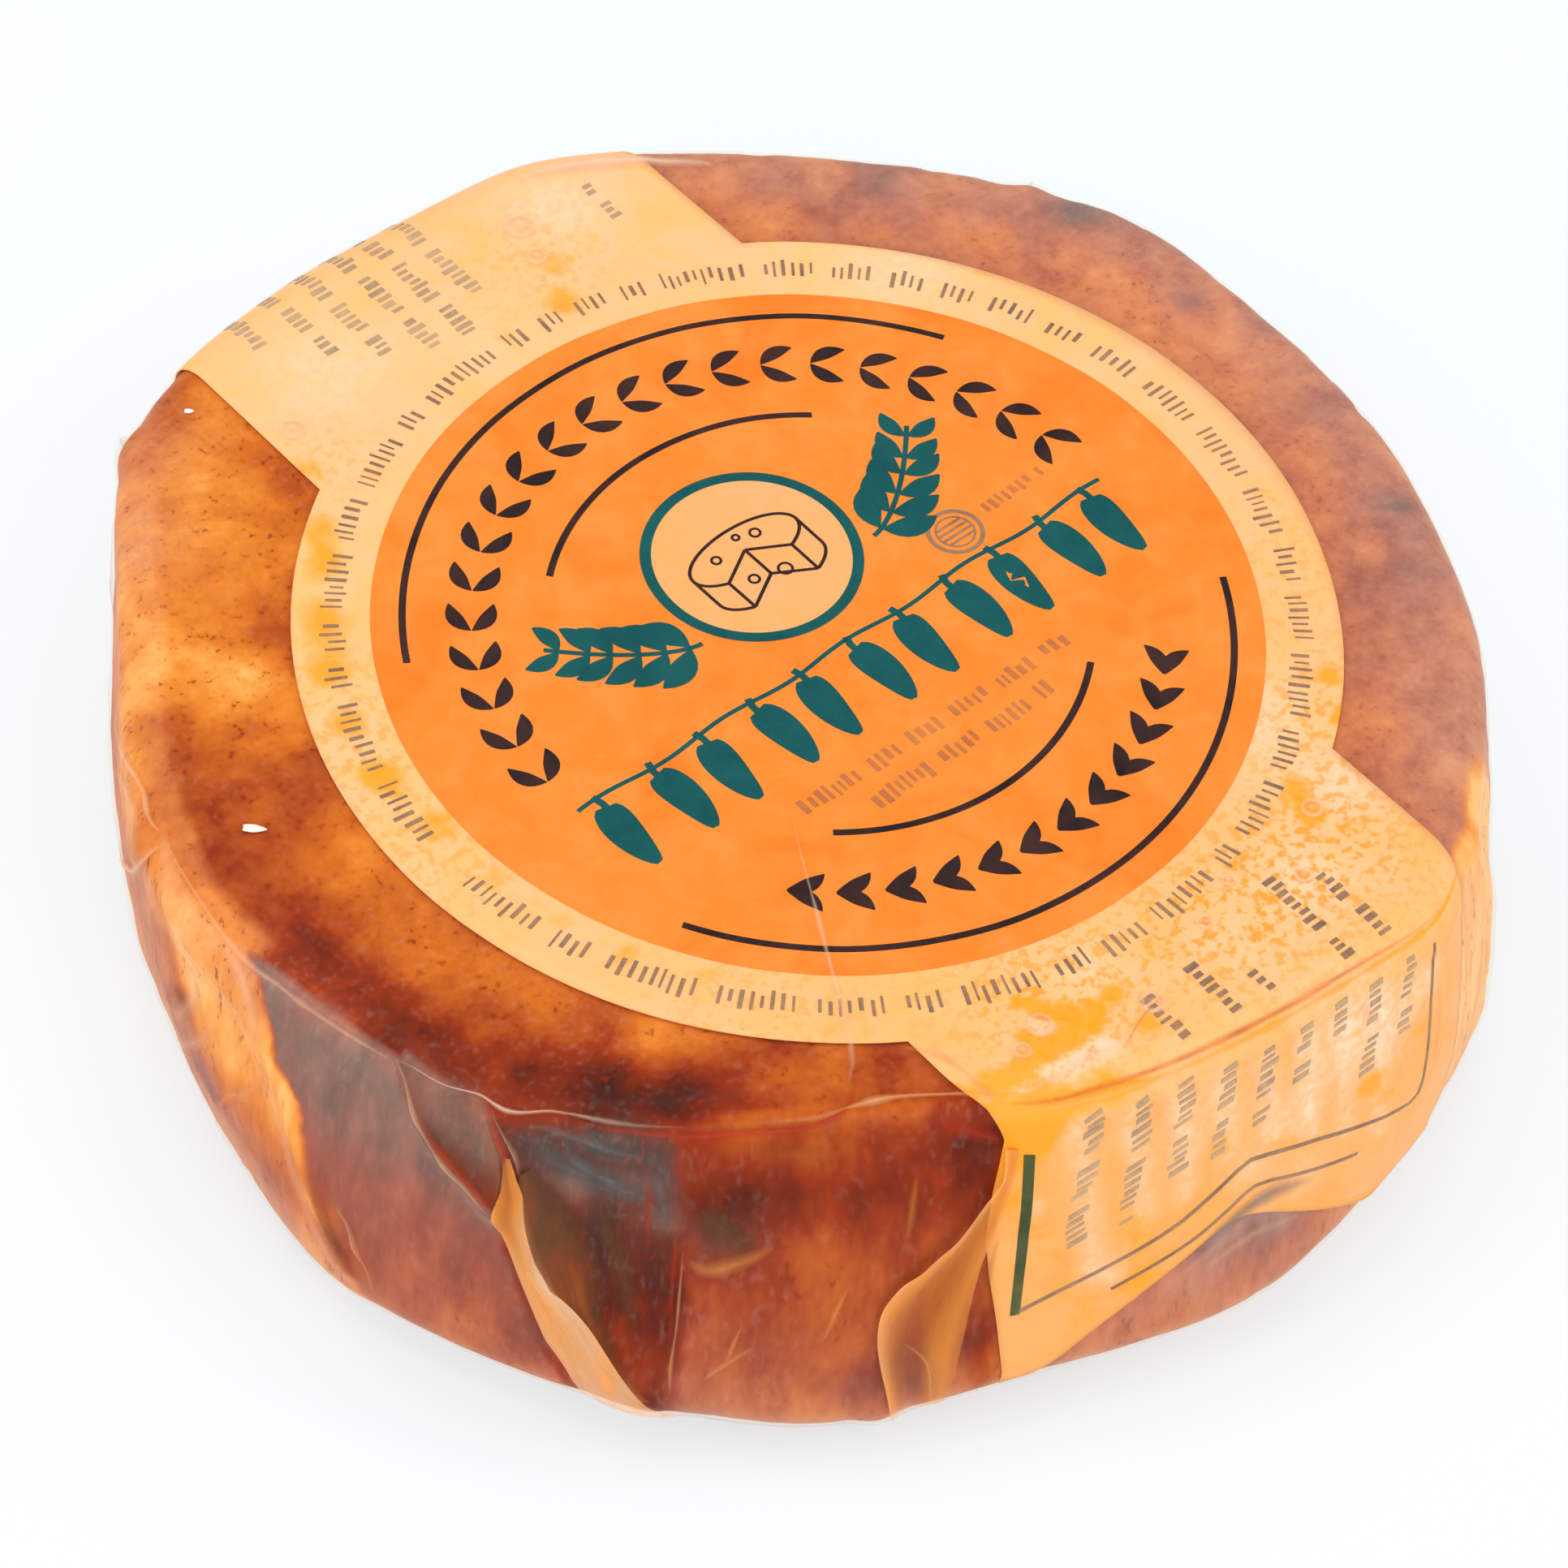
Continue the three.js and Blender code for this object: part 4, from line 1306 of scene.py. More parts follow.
# Pale cream creases, of warmth near 0, are painted highlights: light caught along the film's ridges. Creases
# of warmth below 0 are cold greys: painted grey-blue reflections on the film.
creases = {
    "rim": ([(193.2, 2.5), (197.1, 1.9), (201.5, 1.4), (204.6, 1.2), (207.8, 1.4), (212.8, 2.5),
             (217.8, 3.1)], 0.28, 0.3, [0.9, 0.95, 0.85, 0.65, 0.4, 0.15], 0.05),
    "rimRed": ([(207.8, 1.9), (212.8, 3), (217.8, 3.8), (223, 3.9), (228, 3.9), (231, 3), (232.4, 1.4),
                (232.4, -2)], 0.5, 0.16, [0.3, 0.6, 0.8, 0.8, 0.8, 0.6, 0.3], 2),
    "rimRight": ([(223, 3.2), (228.9, 3.1), (232.3, 2.4), (236.6, 1.8), (242.4, 1.8), (245.9, 2.2)], 0.4, 0.4,
                 [0.2, 0.4, 0.8, 0.8, 0.6], 0.3),
    "rimOnBand": ([(246.3, 2.9), (250.6, 2.9), (256.2, 2.5), (264.9, 2.4), (273.6, 2.4), (282.3, 2.4),
                   (290.6, 2.8)], 0.42, 0.12, [1, 1, 0.95, 0.9, 0.9, 0.6], 0.74),
    "rimOnBandPale": ([(246.3, 3.6), (256.2, 3.2), (264.9, 3.1), (273.6, 3.1), (282.3, 3.1), (292, 3.3)], 0.4,
                      0.2, [0.4, 0.3, 0.2, 0.3, 0.4], 0.15),
    "acrossLabel": ([(224, -26.8), (228.5, -17.7), (231.1, -9.5), (232.5, -2.5), (232, 0.6)], 0.55, 0.34,
                    [0.3, 0.6, 0.55, 0.4, 0.2], 0.05),
    "cornerLens": ([(246.1, 2.3), (248.2, 2), (250.4, 1.4), (252.6, 0.7), (255.5, -0.1), (257.4, -0.6)], 1,
                   0.3, [0.25, 0.5, 0.6, 0.55, 0.3], 0.12),
    "cornerHair": ([(258.1, 0.2), (261.7, -1.9), (265.2, -3)], 0.14, 0.1, [0.5, 0.7, 0.6], 0.9),
    "bandCorner": ([(237.5, -2.6), (241.8, -1.2), (245.4, 2.6)], 0.5, 0.4, [0.3, 0.7, 0.9], 0.4),
    "triangleSide": ([(193.2, 2.4), (195.3, 3.9), (197, 5.9), (199, 7.9), (200.6, 9), (202.6, 10.2),
                      (204.3, 11.6)], 0.3, 0.45, [1, 0.9, 0.8, 0.8, 0.6], 0.1),
    "triangleRed": ([(196.3, 4.4), (198.2, 6.6), (200.2, 8), (202.4, 9.5), (204.2, 10.9)], 0.75, 0.14,
                    [0.6, 1, 0.95, 1], 1.9),
    "foldTop": ([(201.5, 1.3), (203.3, 3.1), (204.5, 4.8), (205, 7)], 0.5, 0.5, [0.8, 1, 0.9, 0.5], 1.9),
    "foldTopPale": ([(202.3, 1.7), (204.2, 3.3), (205.4, 5.1), (205.8, 7.2)], 0.2, 0.7, [0.6, 0.5, 0.4, 0.2],
                    0.2),
    "foldEdge": ([(206.1, 9.2), (206.9, 12.6), (207.7, 15.6), (208.9, 18.9), (210.2, 21.9), (212.2, 25),
                  (214.2, 27.4)], 0.28, 0.95, [0.6, 0.95, 0.9, 0.8, 0.4], 0),
    "leftBorder": ([(164.5, 2.2), (171.2, 1.6), (178.2, 3), (182.3, 3.2), (185.5, 3.1), (193.1, 2.7)], 0.4,
                   0.25, [0.6, 0.5, 0.45, 0.4, 0.6], 0.15),
    "leftFold": ([(187, 18.5), (189, 22), (190.4, 25), (191.6, 27.6), (192.6, 30)], 0.8, 0.2,
                 [0.4, 0.85, 0.85, 0.6], 1),
    "leftFoldPale": ([(190.4, 20.8), (191.7, 22.4), (192.4, 25), (193.5, 27.4), (194, 30)], 0.25, 0.4,
                     [0.3, 0.5, 0.5, 0.3], 0.25),
    "leftBunch": ([(164.6, 2.4), (163.6, 6), (160.1, 11.4), (155, 17.4), (150, 22.9), (146, 27)], 0.8, 0.25,
                  [0.6, 0.8, 0.7, 0.6, 0.4], 0.12),
    "leftFan": ([(166.8, 6.9), (166, 12), (164.6, 17), (161.8, 22), (158.5, 27)], 1.6, 0.15,
                [0.3, 0.45, 0.45, 0.3], 0.85),
    "leftFanRed": ([(172.4, 11.8), (170.6, 14.4), (168, 18), (165, 22.9), (162, 27.8)], 1.6, 0.15,
                   [0.2, 0.5, 0.5, 0.3], 0.8),
    "leftFanPale": ([(162.6, 8), (158.6, 14), (154, 20), (150, 25)], 1, 0.15, [0.3, 0.35, 0.3], 0.2),
    "leftFanHigh": ([(162, 3.6), (156, 6), (151, 10), (147, 15)], 0.8, 0.15, [0.4, 0.4, 0.2], 0.3),
    "leftStreak": ([(170.6, 3), (172.4, 7.6), (173, 11.6), (171.8, 15), (169.6, 19)], 1.1, 0.15,
                   [0.15, 0.3, 0.45, 0.4, 0.2], 0.15),
    "leftStreakLow": ([(175.6, 12.6), (174.2, 16), (172, 19.4), (168.8, 24), (166, 28)], 0.9, 0.15,
                      [0.2, 0.45, 0.45, 0.3], 0.2),
    "leftGold": ([(180.6, 9), (181.4, 13), (180, 17), (177.6, 20), (175.6, 25)], 0.8, 0.2,
                 [0.2, 0.4, 0.5, 0.3], 0.35),
    "leftRosy": ([(175.6, 2.8), (178.4, 4.6), (180.2, 8), (180.8, 10.4)], 1.3, 0.12, [0.4, 0.6, 0.5, 0.2],
                 0.15),
    "leftRim": ([(142.8, 10.8), (149.5, 7), (155.6, 4), (159.9, 2.8), (163.4, 2.3)], 0.4, 0.25,
                [0.3, 0.5, 0.7, 0.8], 0.15),
    "slateDeep": ([(205.8, 3.4), (209, 6.4), (212.6, 8.4), (216.2, 10)], 2.6, 0.04, [0.4, 0.72, 0.7, 0.3],
                  -0.7),
    "slateDeepHigh": ([(208, 3.4), (212, 4.6), (216.4, 6.2)], 1.9, 0.04, [0.3, 0.5, 0.25], -0.66),
    "cornerCold": ([(215.9, 5), (216.3, 8), (216.9, 11), (217.4, 13.6)], 1.9, 0.06, [0.1, 0.3, 0.35, 0.1],
                   -0.55),
    "slateCold": ([(208.6, 3.6), (209.6, 5.6), (211.6, 7.4), (213, 8.2)], 0.9, 0.1, [0.3, 0.4, 0.2], -0.5),
    "slateColdHigh": ([(205.4, 2.4), (208, 3), (211, 4.2), (213.4, 5.2)], 0.5, 0.1, [0.15, 0.25, 0.1], -0.45),
    "slateRed": ([(215.2, 7), (215.6, 9.5), (215.8, 13), (216, 16)], 0.5, 0.12, [0.2, 0.5, 0.5, 0.2], 1.5),
    "slateDark": ([(211.6, 10), (213, 14), (214.6, 19), (216, 24)], 1.8, 0.05, [0.3, 0.6, 0.6, 0.4], 1.2),
    "oliveSpot": ([(219.9, 10.6), (221.2, 12.2), (223, 13.8), (225, 14.4)], 2.7, 0.04, [0.5, 0.9, 0.75, 0.4],
                  1.2),
    "brickRed": ([(238.5, 3.6), (242, 4.6), (245.4, 6)], 2, 0.05, [0.2, 0.6, 0.8], 1.6),
    "oliveHigh": ([(223.6, 6), (227.6, 6.6), (231.4, 8)], 1.9, 0.04, [0.2, 0.45, 0.2], 0.86),
    "upright": ([(218.8, 14.6), (218.9, 18.5), (219, 22.5), (218.9, 26.7), (219.1, 30)], 0.25, 0.35,
                [0.3, 0.6, 0.5, 0.6, 0.4], 0.2),
    "uprightRed": ([(218.2, 12), (218.2, 17), (218.4, 22)], 0.4, 0.12, [0.3, 0.5, 0.3], 1.8),
    "greyArc": ([(219.2, 15.8), (221, 16.6), (223.6, 15.6), (226.2, 14.2)], 1.1, 0.12, [0.35, 0.5, 0.3],
                0.42),
    "wisp": ([(232.8, 17.2), (231.6, 20), (230.6, 23)], 0.35, 0.2, [0.3, 0.5, 0.3], 0.45),
    "wispLow": ([(224.2, 21.4), (223.6, 23.6), (223.2, 25.6)], 0.3, 0.2, [0.4, 0.5, 0.3], 0.4),
    "wispAcross": ([(221.4, 27.8), (223.2, 25.6), (225.2, 23.6)], 0.35, 0.15, [0.3, 0.4, 0.3], 0.4),
    "wispSide": ([(238.2, 8.6), (237.8, 11.6), (237.4, 14.4)], 0.5, 0.12, [0.3, 0.45, 0.3], 0.6),
    "flapInner": ([(237.2, 23.9), (238.6, 25.4), (239.4, 26.8), (239.8, 29.6), (240.2, 32)], 0.32, 0.7,
                  [0.5, 0.8, 0.8, 0.6], 0.32),
    "flapGap": ([(245.2, 15), (244.4, 19), (243.4, 24), (243, 30.4)], 0.7, 0.03, [0.3, 0.5, 0.5, 0.3], 1),
    "underCold": ([(261.5, 24), (266, 20.6), (270, 19.8), (274.5, 21.2)], 1.6, 0.08, [0.4, 0.75, 0.75, 0.4],
                  -0.55),
    "underPink": ([(263.5, 25), (268, 23.4), (273, 24.4)], 1.1, 0.08, [0.2, 0.35, 0.2], 0.2),
    "bandUpright": ([(287.6, 3.6), (288.3, 9), (288, 15), (287, 21)], 0.35, 0.3, [0.5, 0.4, 0.3], 0.2),
    "bandSlant": ([(279, 3.8), (282, 9), (284.5, 17)], 0.5, 0.2, [0.35, 0.25], 0.05),
    "bandMiddle": ([(268, 5), (270.5, 10), (269, 15)], 0.7, 0.2, [0.35, 0.35, 0.2], 0),
    "bandLeft": ([(259, 4), (260.5, 8), (259.5, 14)], 0.5, 0.15, [0.25, 0.3, 0.2], 0.05),
    "rightGather": ([(298, 2.4), (300, 9), (301, 17), (300, 27)], 0.7, 0.3, [0.5, 0.4, 0.3], 0.3),
    "rightSlant": ([(293.5, 3.4), (294.5, 12), (295, 24)], 0.6, 0.3, [0.4, 0.3], 0.35),
    "rightBack": ([(334, 1.6), (331, 11), (334, 25)], 0.5, 0.3, [0.4, 0.3], 0.3),
    "backGather": ([(28, 2.4), (30, 12), (33, 27)], 0.6, 0.4, [0.5, 0.4], 0.3),
    "backSlant": ([(48, 2.4), (42, 14), (39, 27)], 0.5, 0.3, [0.4, 0.3], 0.3),
    "backSide": ([(121, 2.4), (117, 12), (113, 27)], 0.6, 0.4, [0.5, 0.4], 0.3),
    "backSideLow": ([(128, 3), (130, 14), (127, 28)], 0.5, 0.3, [0.4, 0.3], 0.3),
    "backRim": ([(57.6, -0.2), (61, 0.2), (66, 0.4), (71, 0.4), (76, 0.2)], 1.5, 0.25, [0.6, 0.9, 0.9, 0.6],
                0),
    "baseEdge": ([(201, 33), (206.7, 32.8), (213, 33.4), (219.5, 33.8), (226.6, 33.8), (232.6, 33.4),
                  (237, 33.2)], 0.8, 0.12, [0.4, 0.5, 0.6, 0.5, 0.5], 0.25),
}

# Flaps lie between two lines. Heights, solidness and warmth are rows along the flap, each from the first line
# to the second.
flap = {
    "rows": 70,
    "columns": 22,
    "clearance": 0.06,
    # ripples: size in degrees and in run, shift, and their part in height, solidness and warmth
    "rippleSize": (1.6, 7.0, 6.1),
    "rippleHeight": 0.28,
    "rippleSolid": (0.95, 0.2),
    "rippleWarm": 0.15,
    # shares along it over which a flap rises from its ends, and how high it stays there
    "ends": [(0, 0.07), (1.0, 0.9)],
    "endHeight": 0.35,
    # how far its fibres' pattern goes along and across
    "fibres": (25, 5),
}
flaps = {
    "frontFold": {
        "first": [
            (204.5, 4.9), (204.7, 8.2), (204.4, 11.5), (205.5, 14.4), (206.6, 18), (207.8, 21.6),
            (209.2, 25.6), (210.7, 29), (212, 31.7), (213.5, 34.2)],
        "second": [
            (205, 5.1), (206.2, 8.4), (206.8, 11.9), (207.8, 15.4), (209, 18.6), (211.4, 22), (213.9, 25.6),
            (215.8, 28.4), (217.6, 30.4), (220.4, 32.6)],
        "heights": [[0.2, 0.5, 0.6, 0.75, 0.9, 0.5]],
        "solid": [[0.9, 0.8, 0.85, 0.9], [1, 0.9, 0.9, 1], [1, 1, 1, 1], [1, 1, 0.95, 0.9],
                  [0.8, 0.8, 0.75, 0.6]],
        # its right edge is less warm halfway down: a painted highlight along that edge
        "warm": [[1.1, 0.8, 0.6], [0.45, 0.75, 0.25], [0.4, 0.42, 0.1], [0.4, 0.36, 0.22], [0.38, 0.34, 0.3],
                 [0.32, 0.28, 0.28]]},
    # its dark brown is partly painted shade, the rind in the shadow of the film's tent seen through it, and
    # partly the olive brown of the oily film
    "foldPanel": {
        "first": [
            (205.8, 7), (206.6, 11.9), (207.6, 15.2), (208.9, 18.4), (210.4, 22), (212.6, 25.6), (214.6, 28),
            (217, 30.2)],
        "second": [
            (206.6, 6.4), (210, 11), (211.8, 14.6), (212.8, 18.6), (213.4, 22.5), (214.8, 26), (216.4, 28.6),
            (217.8, 30.4)],
        "heights": [[0.6, 0.45, 0.3, 0.25, 0.15, 0.08]],
        "solid": [[0.8, 0.75, 0.7, 0.6, 0.45, 0.1]],
        "warm": [[1.1, 1, 1.12, 1.15, 1.2], [0.92, 1.08, 0.98, 1.12, 1.2], [0.7, 0.95, 0.88, 1.05, 1.1]]},
    "triangle": {
        "first": [(193.4, 2.7), (197.2, 6), (200.7, 9.1), (204.2, 11.5)],
        "second": [(201.4, 1.9), (203.2, 3.4), (204.4, 5.6), (204.6, 10.8)],
        "heights": [[0.4, 0.25, 0.18, 0.18, 0.25, 0.4]], "solid": [[0.4, 0.25, 0.1, 0.1, 0.12, 0.3]],
        "warm": [[1, 1.1, 1.1, 1.1, 1, 0.9]]},
    "bandFlap": {
        "first": [
            (245.8, 6.6), (245, 8.9), (243.8, 10.6), (242.6, 12.6), (241, 14.4), (238.8, 15.8), (236.7, 17.2),
            (235.3, 19.2), (234.9, 21.6), (235.2, 24.2), (235.9, 27.6), (236.7, 32.5)],
        "second": [
            (247, 7), (246.3, 9.8), (245.3, 12.8), (244.5, 15.2), (243.8, 17.4), (243.4, 19.4), (243, 21.4),
            (242.7, 23.2), (242.4, 25), (242, 27.5), (241.7, 30), (241.4, 32.5)],
        "heights": [[0.8, 0.75, 0.5, 0.35, 0.35, 0.45, 0.2]],
        "solid": [[1, 1, 1, 1, 1, 1, 0.9], [1, 0.85, 0.72, 0.65, 0.7, 0.85, 0.8],
                  [1, 0.75, 0.55, 0.45, 0.6, 0.85, 0.7], [1, 0.55, 0.3, 0.28, 0.6, 0.85, 0.5],
                  [1, 0.35, 0.1, 0.12, 0.7, 0.8, 0.4], [0.9, 0.3, 0.08, 0.12, 0.6, 0.7, 0.3]],
        "warm": [[0.34, 0.42, 0.48, 0.5, 0.5, 0.5], [0.36, 0.5, 0.54, 0.58, 0.54, 0.5],
                 [0.38, 0.52, 0.6, 0.64, 0.58, 0.54], [0.36, 0.55, 0.65, 0.62, 0.54, 0.6],
                 [0.3, 0.5, 0.6, 0.5, 0.48, 0.6]]},
}


# A smooth line through points: Catmull-Rom, each stretch a cubic that leaves along its neighbours' chord
def smoothLine(corners, count):
    corners = np.asarray(corners, float)
    padded = np.concatenate([[2 * corners[0] - corners[1]], corners, [2 * corners[-1] - corners[-2]]])
    place = np.linspace(0, len(corners) - 1, count)
    index = np.minimum(place.astype(int), len(corners) - 2)
    share = (place - index)[:, None]
    before, start, end, after = (padded[index + step] for step in range(4))
    return 0.5 * (2 * start + (end - before) * share + (2 * before - 5 * start + 4 * end - after) * share ** 2
                  + (3 * start - before - 3 * end + after) * share ** 3)


# A sheet on the film: degrees, run and lift for each point of a grid, over the film's own folds and swells
def filmSheet(name, degrees, runs, rises, values, material):
    risen = overLabel(skinPoint(np.radians(degrees), runs))[1]
    points = layerPoint(np.radians(degrees), runs, lifts["film"] + (rises + risen), 1.0)
    values = {key: np.broadcast_to(value, degrees.shape).ravel() for key, value in values.items()}
    faceOut(addPiece(name, *joinGrids([points]), material, "clear_film", values))


# A crease: across its line the rise is a narrow peak, and it fades out at both ends
def addCrease(name, line, halfWidth, rise, solid, warm, material):
    count = max(crease["leastSteps"], int(np.abs(np.diff(line, axis=0)).sum() / crease["stepLength"]))
    path = smoothLine(line, count)
    millimetres = path * [degreeLength, 1.0]
    along = np.gradient(millimetres, axis=0)
    along /= np.hypot(along[:, 0], along[:, 1])[:, None]
    share = np.linspace(0, 1, count)
    ends = np.sin(math.pi * share) ** crease["endPower"]
    least, more, pace, shift = crease["wander"]
    wander = np.stack([share * count * pace, share * 0 + rise * 9, share * 0], axis=-1)
    wander = least + more * softNoise(wander, 1.0, shift)
    across = np.linspace(-1, 1, crease["columns"])
    offset = across * (halfWidth * ends * wander)[:, None]
    degrees = path[:, :1] - offset * along[:, 1:] / degreeLength
    runs = path[:, 1:] + offset * along[:, :1]
    peak = (1 - np.abs(across)) ** crease["peakPower"]
    rises = crease["clearance"] + rise * peak * (ends * wander)[:, None]
    solid = np.interp(share, np.linspace(0, 1, len(solid)), solid)
    solid = solid * ends * (1 - crease["wanderSolid"] + crease["wanderSolid"] * wander)
    solid = (crease["edgeSolid"] + (1 - crease["edgeSolid"]) * peak) * solid[:, None]
    length = np.concatenate([[0], np.hypot(*np.diff(millimetres, axis=0).T)]).cumsum()
    values = {"solid": solid, "warm": warm, "along": length[:, None], "across": offset}
    filmSheet(name, degrees, runs, rises, values, material)


# Values at shares along and across, from a table whose rows and columns are evenly spaced
def spread(table, along, across):
    lines = np.stack([np.interp(across, np.linspace(0, 1, len(line)), line) for line in table])
    places = np.linspace(0, 1, len(table))
    return np.stack([np.interp(along, places, column) for column in lines.T], axis=1)


# A flap: a ruled sheet between its two lines, with values spread over it from its tables and a ripple on top
def addFlap(name, settings, material):
    along, across = np.linspace(0, 1, flap["rows"]), np.linspace(0, 1, flap["columns"])
    first, second = smoothLine(settings["first"], flap["rows"]), smoothLine(settings["second"], flap["rows"])
    degrees = first[:, :1] + (second[:, :1] - first[:, :1]) * across
    runs = first[:, 1:] + (second[:, 1:] - first[:, 1:]) * across
    wide, long, shift = flap["rippleSize"]
    ripple = softNoise(np.stack([degrees / wide, runs / long, 0 * runs], axis=-1), 1.0, shift)
    first, last = (smoothStep(*shares, along) for shares in flap["ends"])
    fade = flap["endHeight"] + (1 - flap["endHeight"]) * (first * last)[:, None]
    rises = spread(settings["heights"], along, across) * fade * (1 + flap["rippleHeight"] * ripple)
    least, more = flap["rippleSolid"]
    solid = np.clip(spread(settings["solid"], along, across) * (least + more * ripple), 0, 1)
    warm = spread(settings["warm"], along, across) + flap["rippleWarm"] * ripple
    values = {"solid": solid, "warm": warm, "along": flap["fibres"][0] * along[:, None],
              "across": flap["fibres"][1] * across}
    filmSheet(name, degrees, runs, flap["clearance"] + rises, values, material)


flapLook = {
    "stretch": 0.4,
    # how warm a place is on the ramp: share and start, and how much blotches and fibres add
    "warmShare": (0.35, 0.3),
    "warmShift": 0.45,
    "blotchShare": 0.5,
    "fibreShare": 0.4,
    "fibreFlow": 0.12,
    # the cold greys paint grey-blue reflections on the film, and the cream after them paints highlights
    "tints": [(0.02, colourOf(0.07, 0.08, 0.075)), (0.09, colourOf(0.12, 0.14, 0.135)),
              (0.15, colourOf(0.25, 0.285, 0.29)), (0.21, colourOf(0.33, 0.345, 0.35)),
              (0.25, colourOf(0.93, 0.72, 0.56)), (0.31, colourOf(0.9, 0.62, 0.42)),
              (0.4, colourOf(0.84, 0.38, 0.14)), (0.48, colourOf(0.8, 0.28, 0.045)),
              (0.57, colourOf(0.55, 0.16, 0.02)), (0.65, colourOf(0.28, 0.07, 0.016)),
              (0.73, colourOf(0.11, 0.05, 0.016)), (0.8, colourOf(0.48, 0.03, 0.006))],
}


# Gathered film: tinted by how warm its points are (below 0 cold greys, then cream, tan, gold, brown, olive,
# red), and as solid as they say, with fibres that run along each piece
# The cold greys are painted grey-blue reflections and the cream is painted highlight.
def makeFlapMaterial():
    material, tree, shader = newMaterial("gatheredFilm")
    place = objectPlace(tree, flapLook["stretch"])
    blotch = mottleOf(tree, place, 260.0, 1600.0)[0]
    flow = calculate(tree, "MULTIPLY", readValue(tree, "along"), flapLook["fibreFlow"])
    strands = addNode(tree, "ShaderNodeCombineXYZ", {0: readValue(tree, "across"), 1: flow}).outputs[0]
    fibre = noiseOf(tree, strands, 2.4, 3.0, 0.6)
    warm = calculate(tree, "SUBTRACT", readValue(tree, "warm"), flapLook["warmShift"])
    warm = calculate(tree, "MULTIPLY_ADD", blotch, flapLook["blotchShare"], warm)
    warm = calculate(tree, "MULTIPLY_ADD", fibre, flapLook["fibreShare"], warm)
    colour = ramp(tree, calculate(tree, "MULTIPLY_ADD", warm, *flapLook["warmShare"]), flapLook["tints"])
    solid = readValue(tree, "solid")
    for pattern, low in ((blotch, 0.8), (fibre, 0.75)):
        solid = calculate(tree, "MULTIPLY", solid, ramp(tree, pattern, [(0.3, low), (0.6, 1.0)]))
    setInputs(tree, shader, {"Base Color": colour, "Roughness": 0.35, "Specular IOR Level": 0.15,
                             "Normal": grainOf(tree, place, 420.0, 1500.0, 0.35, 0.0004), "Alpha": solid})
    return material


# The film's creases and flaps, each a piece of its own
def makeFlaps(material):
    for name, (line, halfWidth, rise, solid, warm) in creases.items():
        addCrease(name + "Crease", line, halfWidth, rise, solid, warm, material)
    for name, settings in flaps.items():
        addFlap(name, settings, material)


# Small things under the film: blisters of trapped oil on the label, and crumbs
smallThings = {
    # blisters: place across, place along, radius
    "blisters": [
        (9.3, 49.6, 1.5), (8.1, 45.9, 1), (-20.9, 42.8, 1.2), (-14.3, -41.5, 1.2), (-17, -42.4, 0.8),
        (-6, -45.5, 1.1), (2.6, -42.4, 0.7), (7, -40.6, 0.6), (17.4, -39.6, 1), (12, -44, 0.8)],
    "blisterGrid": (10, 28),
    # rise of the hump and depth of the dent in it, as shares of the radius
    "hump": 0.22,
    "dent": 0.1,
    # crumbs: place across, place along, length, width, turn
    "crumbs": [(-49.4, 11.4, 1.9, 0.8, -45), (-26.3, 50, 0.8, 0.5, -40)],
    "crumbGrid": (9, 14),
    "crumbHeight": 0.16,
    "crumbSunk": 0.12,
}


# A blister: rings of points whose rise is a cosine hump with a soft dent in the middle
def makeBlisters(material):
    rows, columns = smallThings["blisterGrid"]
    shares = np.linspace(0.01, 1, rows)[:, None]
    angles = np.linspace(0, 2 * math.pi, columns, endpoint=False)[None, :]
    grids = []
    for x, y, radius in smallThings["blisters"]:
        hump = smallThings["hump"] * radius * (0.5 + 0.5 * np.cos(math.pi * shares ** 1.6))
        dent = smallThings["dent"] * radius * np.exp(-(shares / 0.3) ** 2)
        spots = onLabel(x + radius * shares * np.cos(angles), y + radius * shares * np.sin(angles), 0.0)
        spots[..., 2] += lifts["filmOnPaper"] + hump - dent
        grids.append(spots)
    # solid in a ring near the edge and in the middle, with low warmth: a pale painted highlight ring of light
    # caught on each blister
    solid = 0.05 + 0.5 * np.exp(-((shares - 0.78) / 0.14) ** 2) + 0.25 * np.exp(-(shares / 0.25) ** 2)
    solid = np.tile((solid + 0 * angles).ravel(), len(grids))
    values = {"solid": solid, "warm": 0.1 + 0 * solid, "along": 0 * solid, "across": 0 * solid}
    faceOut(addPiece("oilBlisters", *joinGrids(grids, wrapped=True), material, "clear_film", values))


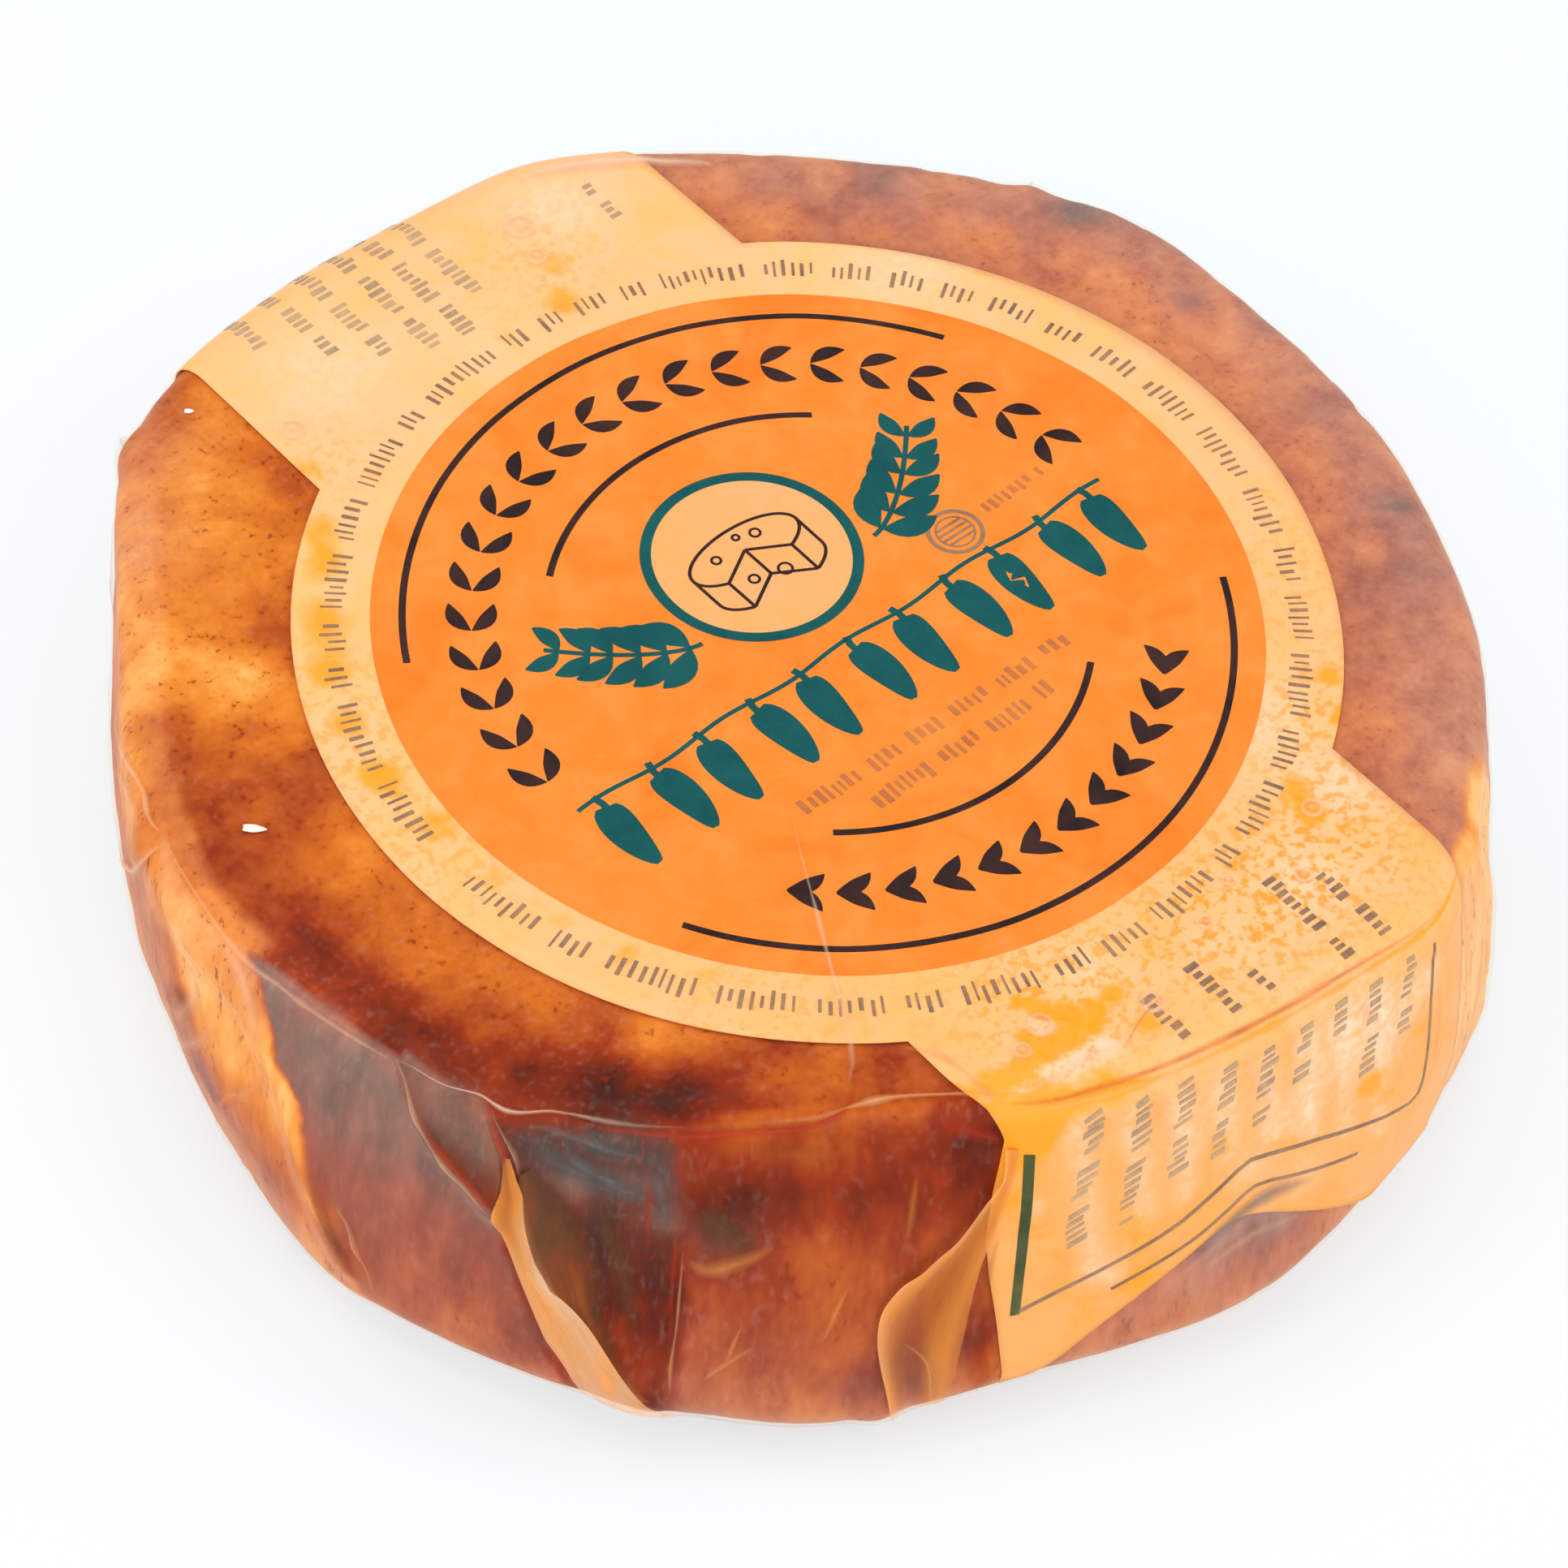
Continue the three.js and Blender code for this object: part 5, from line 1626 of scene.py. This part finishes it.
# A crumb: a three-sided egg of rings of points, closed at both ends and sunk into the rind
def makeCrumbs():
    material, tree, shader = newMaterial("whiteCrumb")
    blotch = mottleOf(tree, objectPlace(tree), 900.0, 4000.0)[0]
    colour = mixColours(tree, blotch, colourOf(0.95, 0.93, 0.88), colourOf(0.85, 0.68, 0.5))
    setInputs(tree, shader, {"Base Color": colour, "Roughness": 0.6})
    rows, columns = smallThings["crumbGrid"]
    rise = np.linspace(0.02, math.pi - 0.02, rows)[:, None]
    turn = np.linspace(0, 2 * math.pi, columns, endpoint=False)[None, :]
    grids = []
    for x, y, length, width, degrees in smallThings["crumbs"]:
        cosine, sine = heading(degrees)
        a = length / 2 * np.sin(rise) * np.cos(turn) * (1 + 0.25 * np.cos(3 * turn))
        b = width / 2 * np.sin(rise) * np.sin(turn)
        c = smallThings["crumbHeight"] * np.cos(rise) + 0 * turn
        spot = np.stack([x + label["middle"][0] + a * cosine - b * sine, y + a * sine + b * cosine,
                         wheel["height"] + c], axis=-1)
        spot[..., 2] += noiseSum(spot, wheel["swells"]) - smallThings["crumbSunk"]
        grids.append(spot)
    points, sides = joinGrids(grids, wrapped=True)
    faceSets = []
    ring = np.arange(columns)[None, :]
    for index, side in enumerate(sides):
        first = index * rows * columns
        faceSets += [side, first + ring[:, ::-1], first + (rows - 1) * columns + ring]
    addPiece("crumbs", points, faceSets, material, "label_paper")


# Camera, floor and light

view = {
    "azimuth": -45.8,
    "elevation": 50.886,
    "roll": 5.585,
    "distance": 417.28,
    "aside": -2.913,
    "aloft": -13.64,
    "sensor": 36.0,
    "focalPixels": 6298.76,
    "imagePixels": 1932,
    "clip": (0.01, 20),
}


# The camera looks at the label's middle from its turn and height, rolled about its own line of sight
def makeCamera():
    turn, rise, roll = (math.radians(view[key]) for key in ("azimuth", "elevation", "roll"))
    back = np.array([math.sin(turn) * math.cos(rise), -math.cos(turn) * math.cos(rise), math.sin(rise)])
    right = np.array([math.cos(turn), math.sin(turn), 0.0])
    up = np.cross(back, right)
    rolledRight = math.cos(roll) * right + math.sin(roll) * up
    rolledUp = -math.sin(roll) * right + math.cos(roll) * up
    place = topPlace(0, label["middle"][1]) + view["aside"] * rolledRight + view["aloft"] * rolledUp
    place = place + view["distance"] * back
    camera = bpy.data.cameras.new("camera")
    camera.sensor_width = view["sensor"]
    camera.lens = view["focalPixels"] / view["imagePixels"] * view["sensor"]
    camera.clip_start, camera.clip_end = view["clip"]
    holder = addObject("camera", camera)
    axes = Matrix(np.stack([rolledRight, rolledUp, back], axis=1).tolist()).to_4x4()
    holder.matrix_world = Matrix.Translation(toMetres(place)) @ axes
    bpy.context.scene.camera = holder


studio = {
    "world": colourOf(0.95, 0.975, 1.0),
    "worldStrength": 0.8,
    "floor": colourOf(0.3, 0.31, 0.315),
    # the floor glows a little, so that it stays pale without a bright sky
    "floorGlow": colourOf(0.93, 0.975, 0.985),
    "floorGlowStrength": 0.64,
    "floorReach": 3.0,
}
lights = {
    # name: degrees round, degrees up, distance, side, watts, all in the frame's own axes and metres
    "overhead": (100, 78, 0.75, 0.5, 1.5),
    "frontBox": (245, 22, 0.8, 0.5, 2.0),
    "leftBox": (160, 26, 0.6, 0.3, 1.0),
    "rightBox": (318, 30, 0.75, 0.3, 0.9),
}


# A pale sky and four square lamps that face the wheel's middle
def makeStudio():
    world = bpy.data.worlds.new("studio")
    world.use_nodes = True
    setInputs(world.node_tree, world.node_tree.nodes["Background"],
              {"Color": studio["world"], "Strength": studio["worldStrength"]})
    bpy.context.scene.world = world
    for name, (turn, rise, distance, side, watts) in lights.items():
        lamp = bpy.data.lights.new(name, "AREA")
        lamp.shape = "SQUARE"
        lamp.size = side
        lamp.energy = watts
        turn, rise = math.radians(turn), math.radians(rise)
        away = Vector((math.cos(turn) * math.cos(rise), math.sin(turn) * math.cos(rise), math.sin(rise)))
        holder = addObject(name, lamp)
        holder.location = away * distance
        holder.rotation_mode = "QUATERNION"
        holder.rotation_quaternion = away.to_track_quat("Z", "Y")


# A wide pale floor at height 0, which only the renders use
def makeFloor():
    material, tree, shader = newMaterial("paleFloor")
    setInputs(tree, shader, {"Base Color": studio["floor"], "Emission Color": studio["floorGlow"],
                             "Emission Strength": studio["floorGlowStrength"], "Roughness": 0.9,
                             "Specular IOR Level": 0.1})
    material.cycles.emission_sampling = "NONE"
    mesh = bpy.data.meshes.new("floor")
    reach = studio["floorReach"]
    corners = [(-reach, -reach, 0), (reach, -reach, 0), (reach, reach, 0), (-reach, reach, 0)]
    mesh.from_pydata(corners, [], [(0, 1, 2, 3)])
    mesh.materials.append(material)
    addObject("floor", mesh)


makeCamera()
makeStudio()
makeFloor()
bpy.context.scene.view_settings.view_transform = "Standard"
print("studio ready")

rindPiece = addWheelSkin("rind", rind, rindPoints, makeRindMaterial(), "paprika_rind", rindValues)
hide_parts("sealed_wheel")
print("rind ready")

makeLabel()
print("label ready")

makePrint()
print("print ready")

filmPiece = addWheelSkin("clearFilm", film, filmPoints, makeFilmMaterial(), "clear_film")
filmPiece.visible_shadow = False
flapMaterial = makeFlapMaterial()
makeFlaps(flapMaterial)
makeBlisters(flapMaterial)
makeCrumbs()
print("film ready")
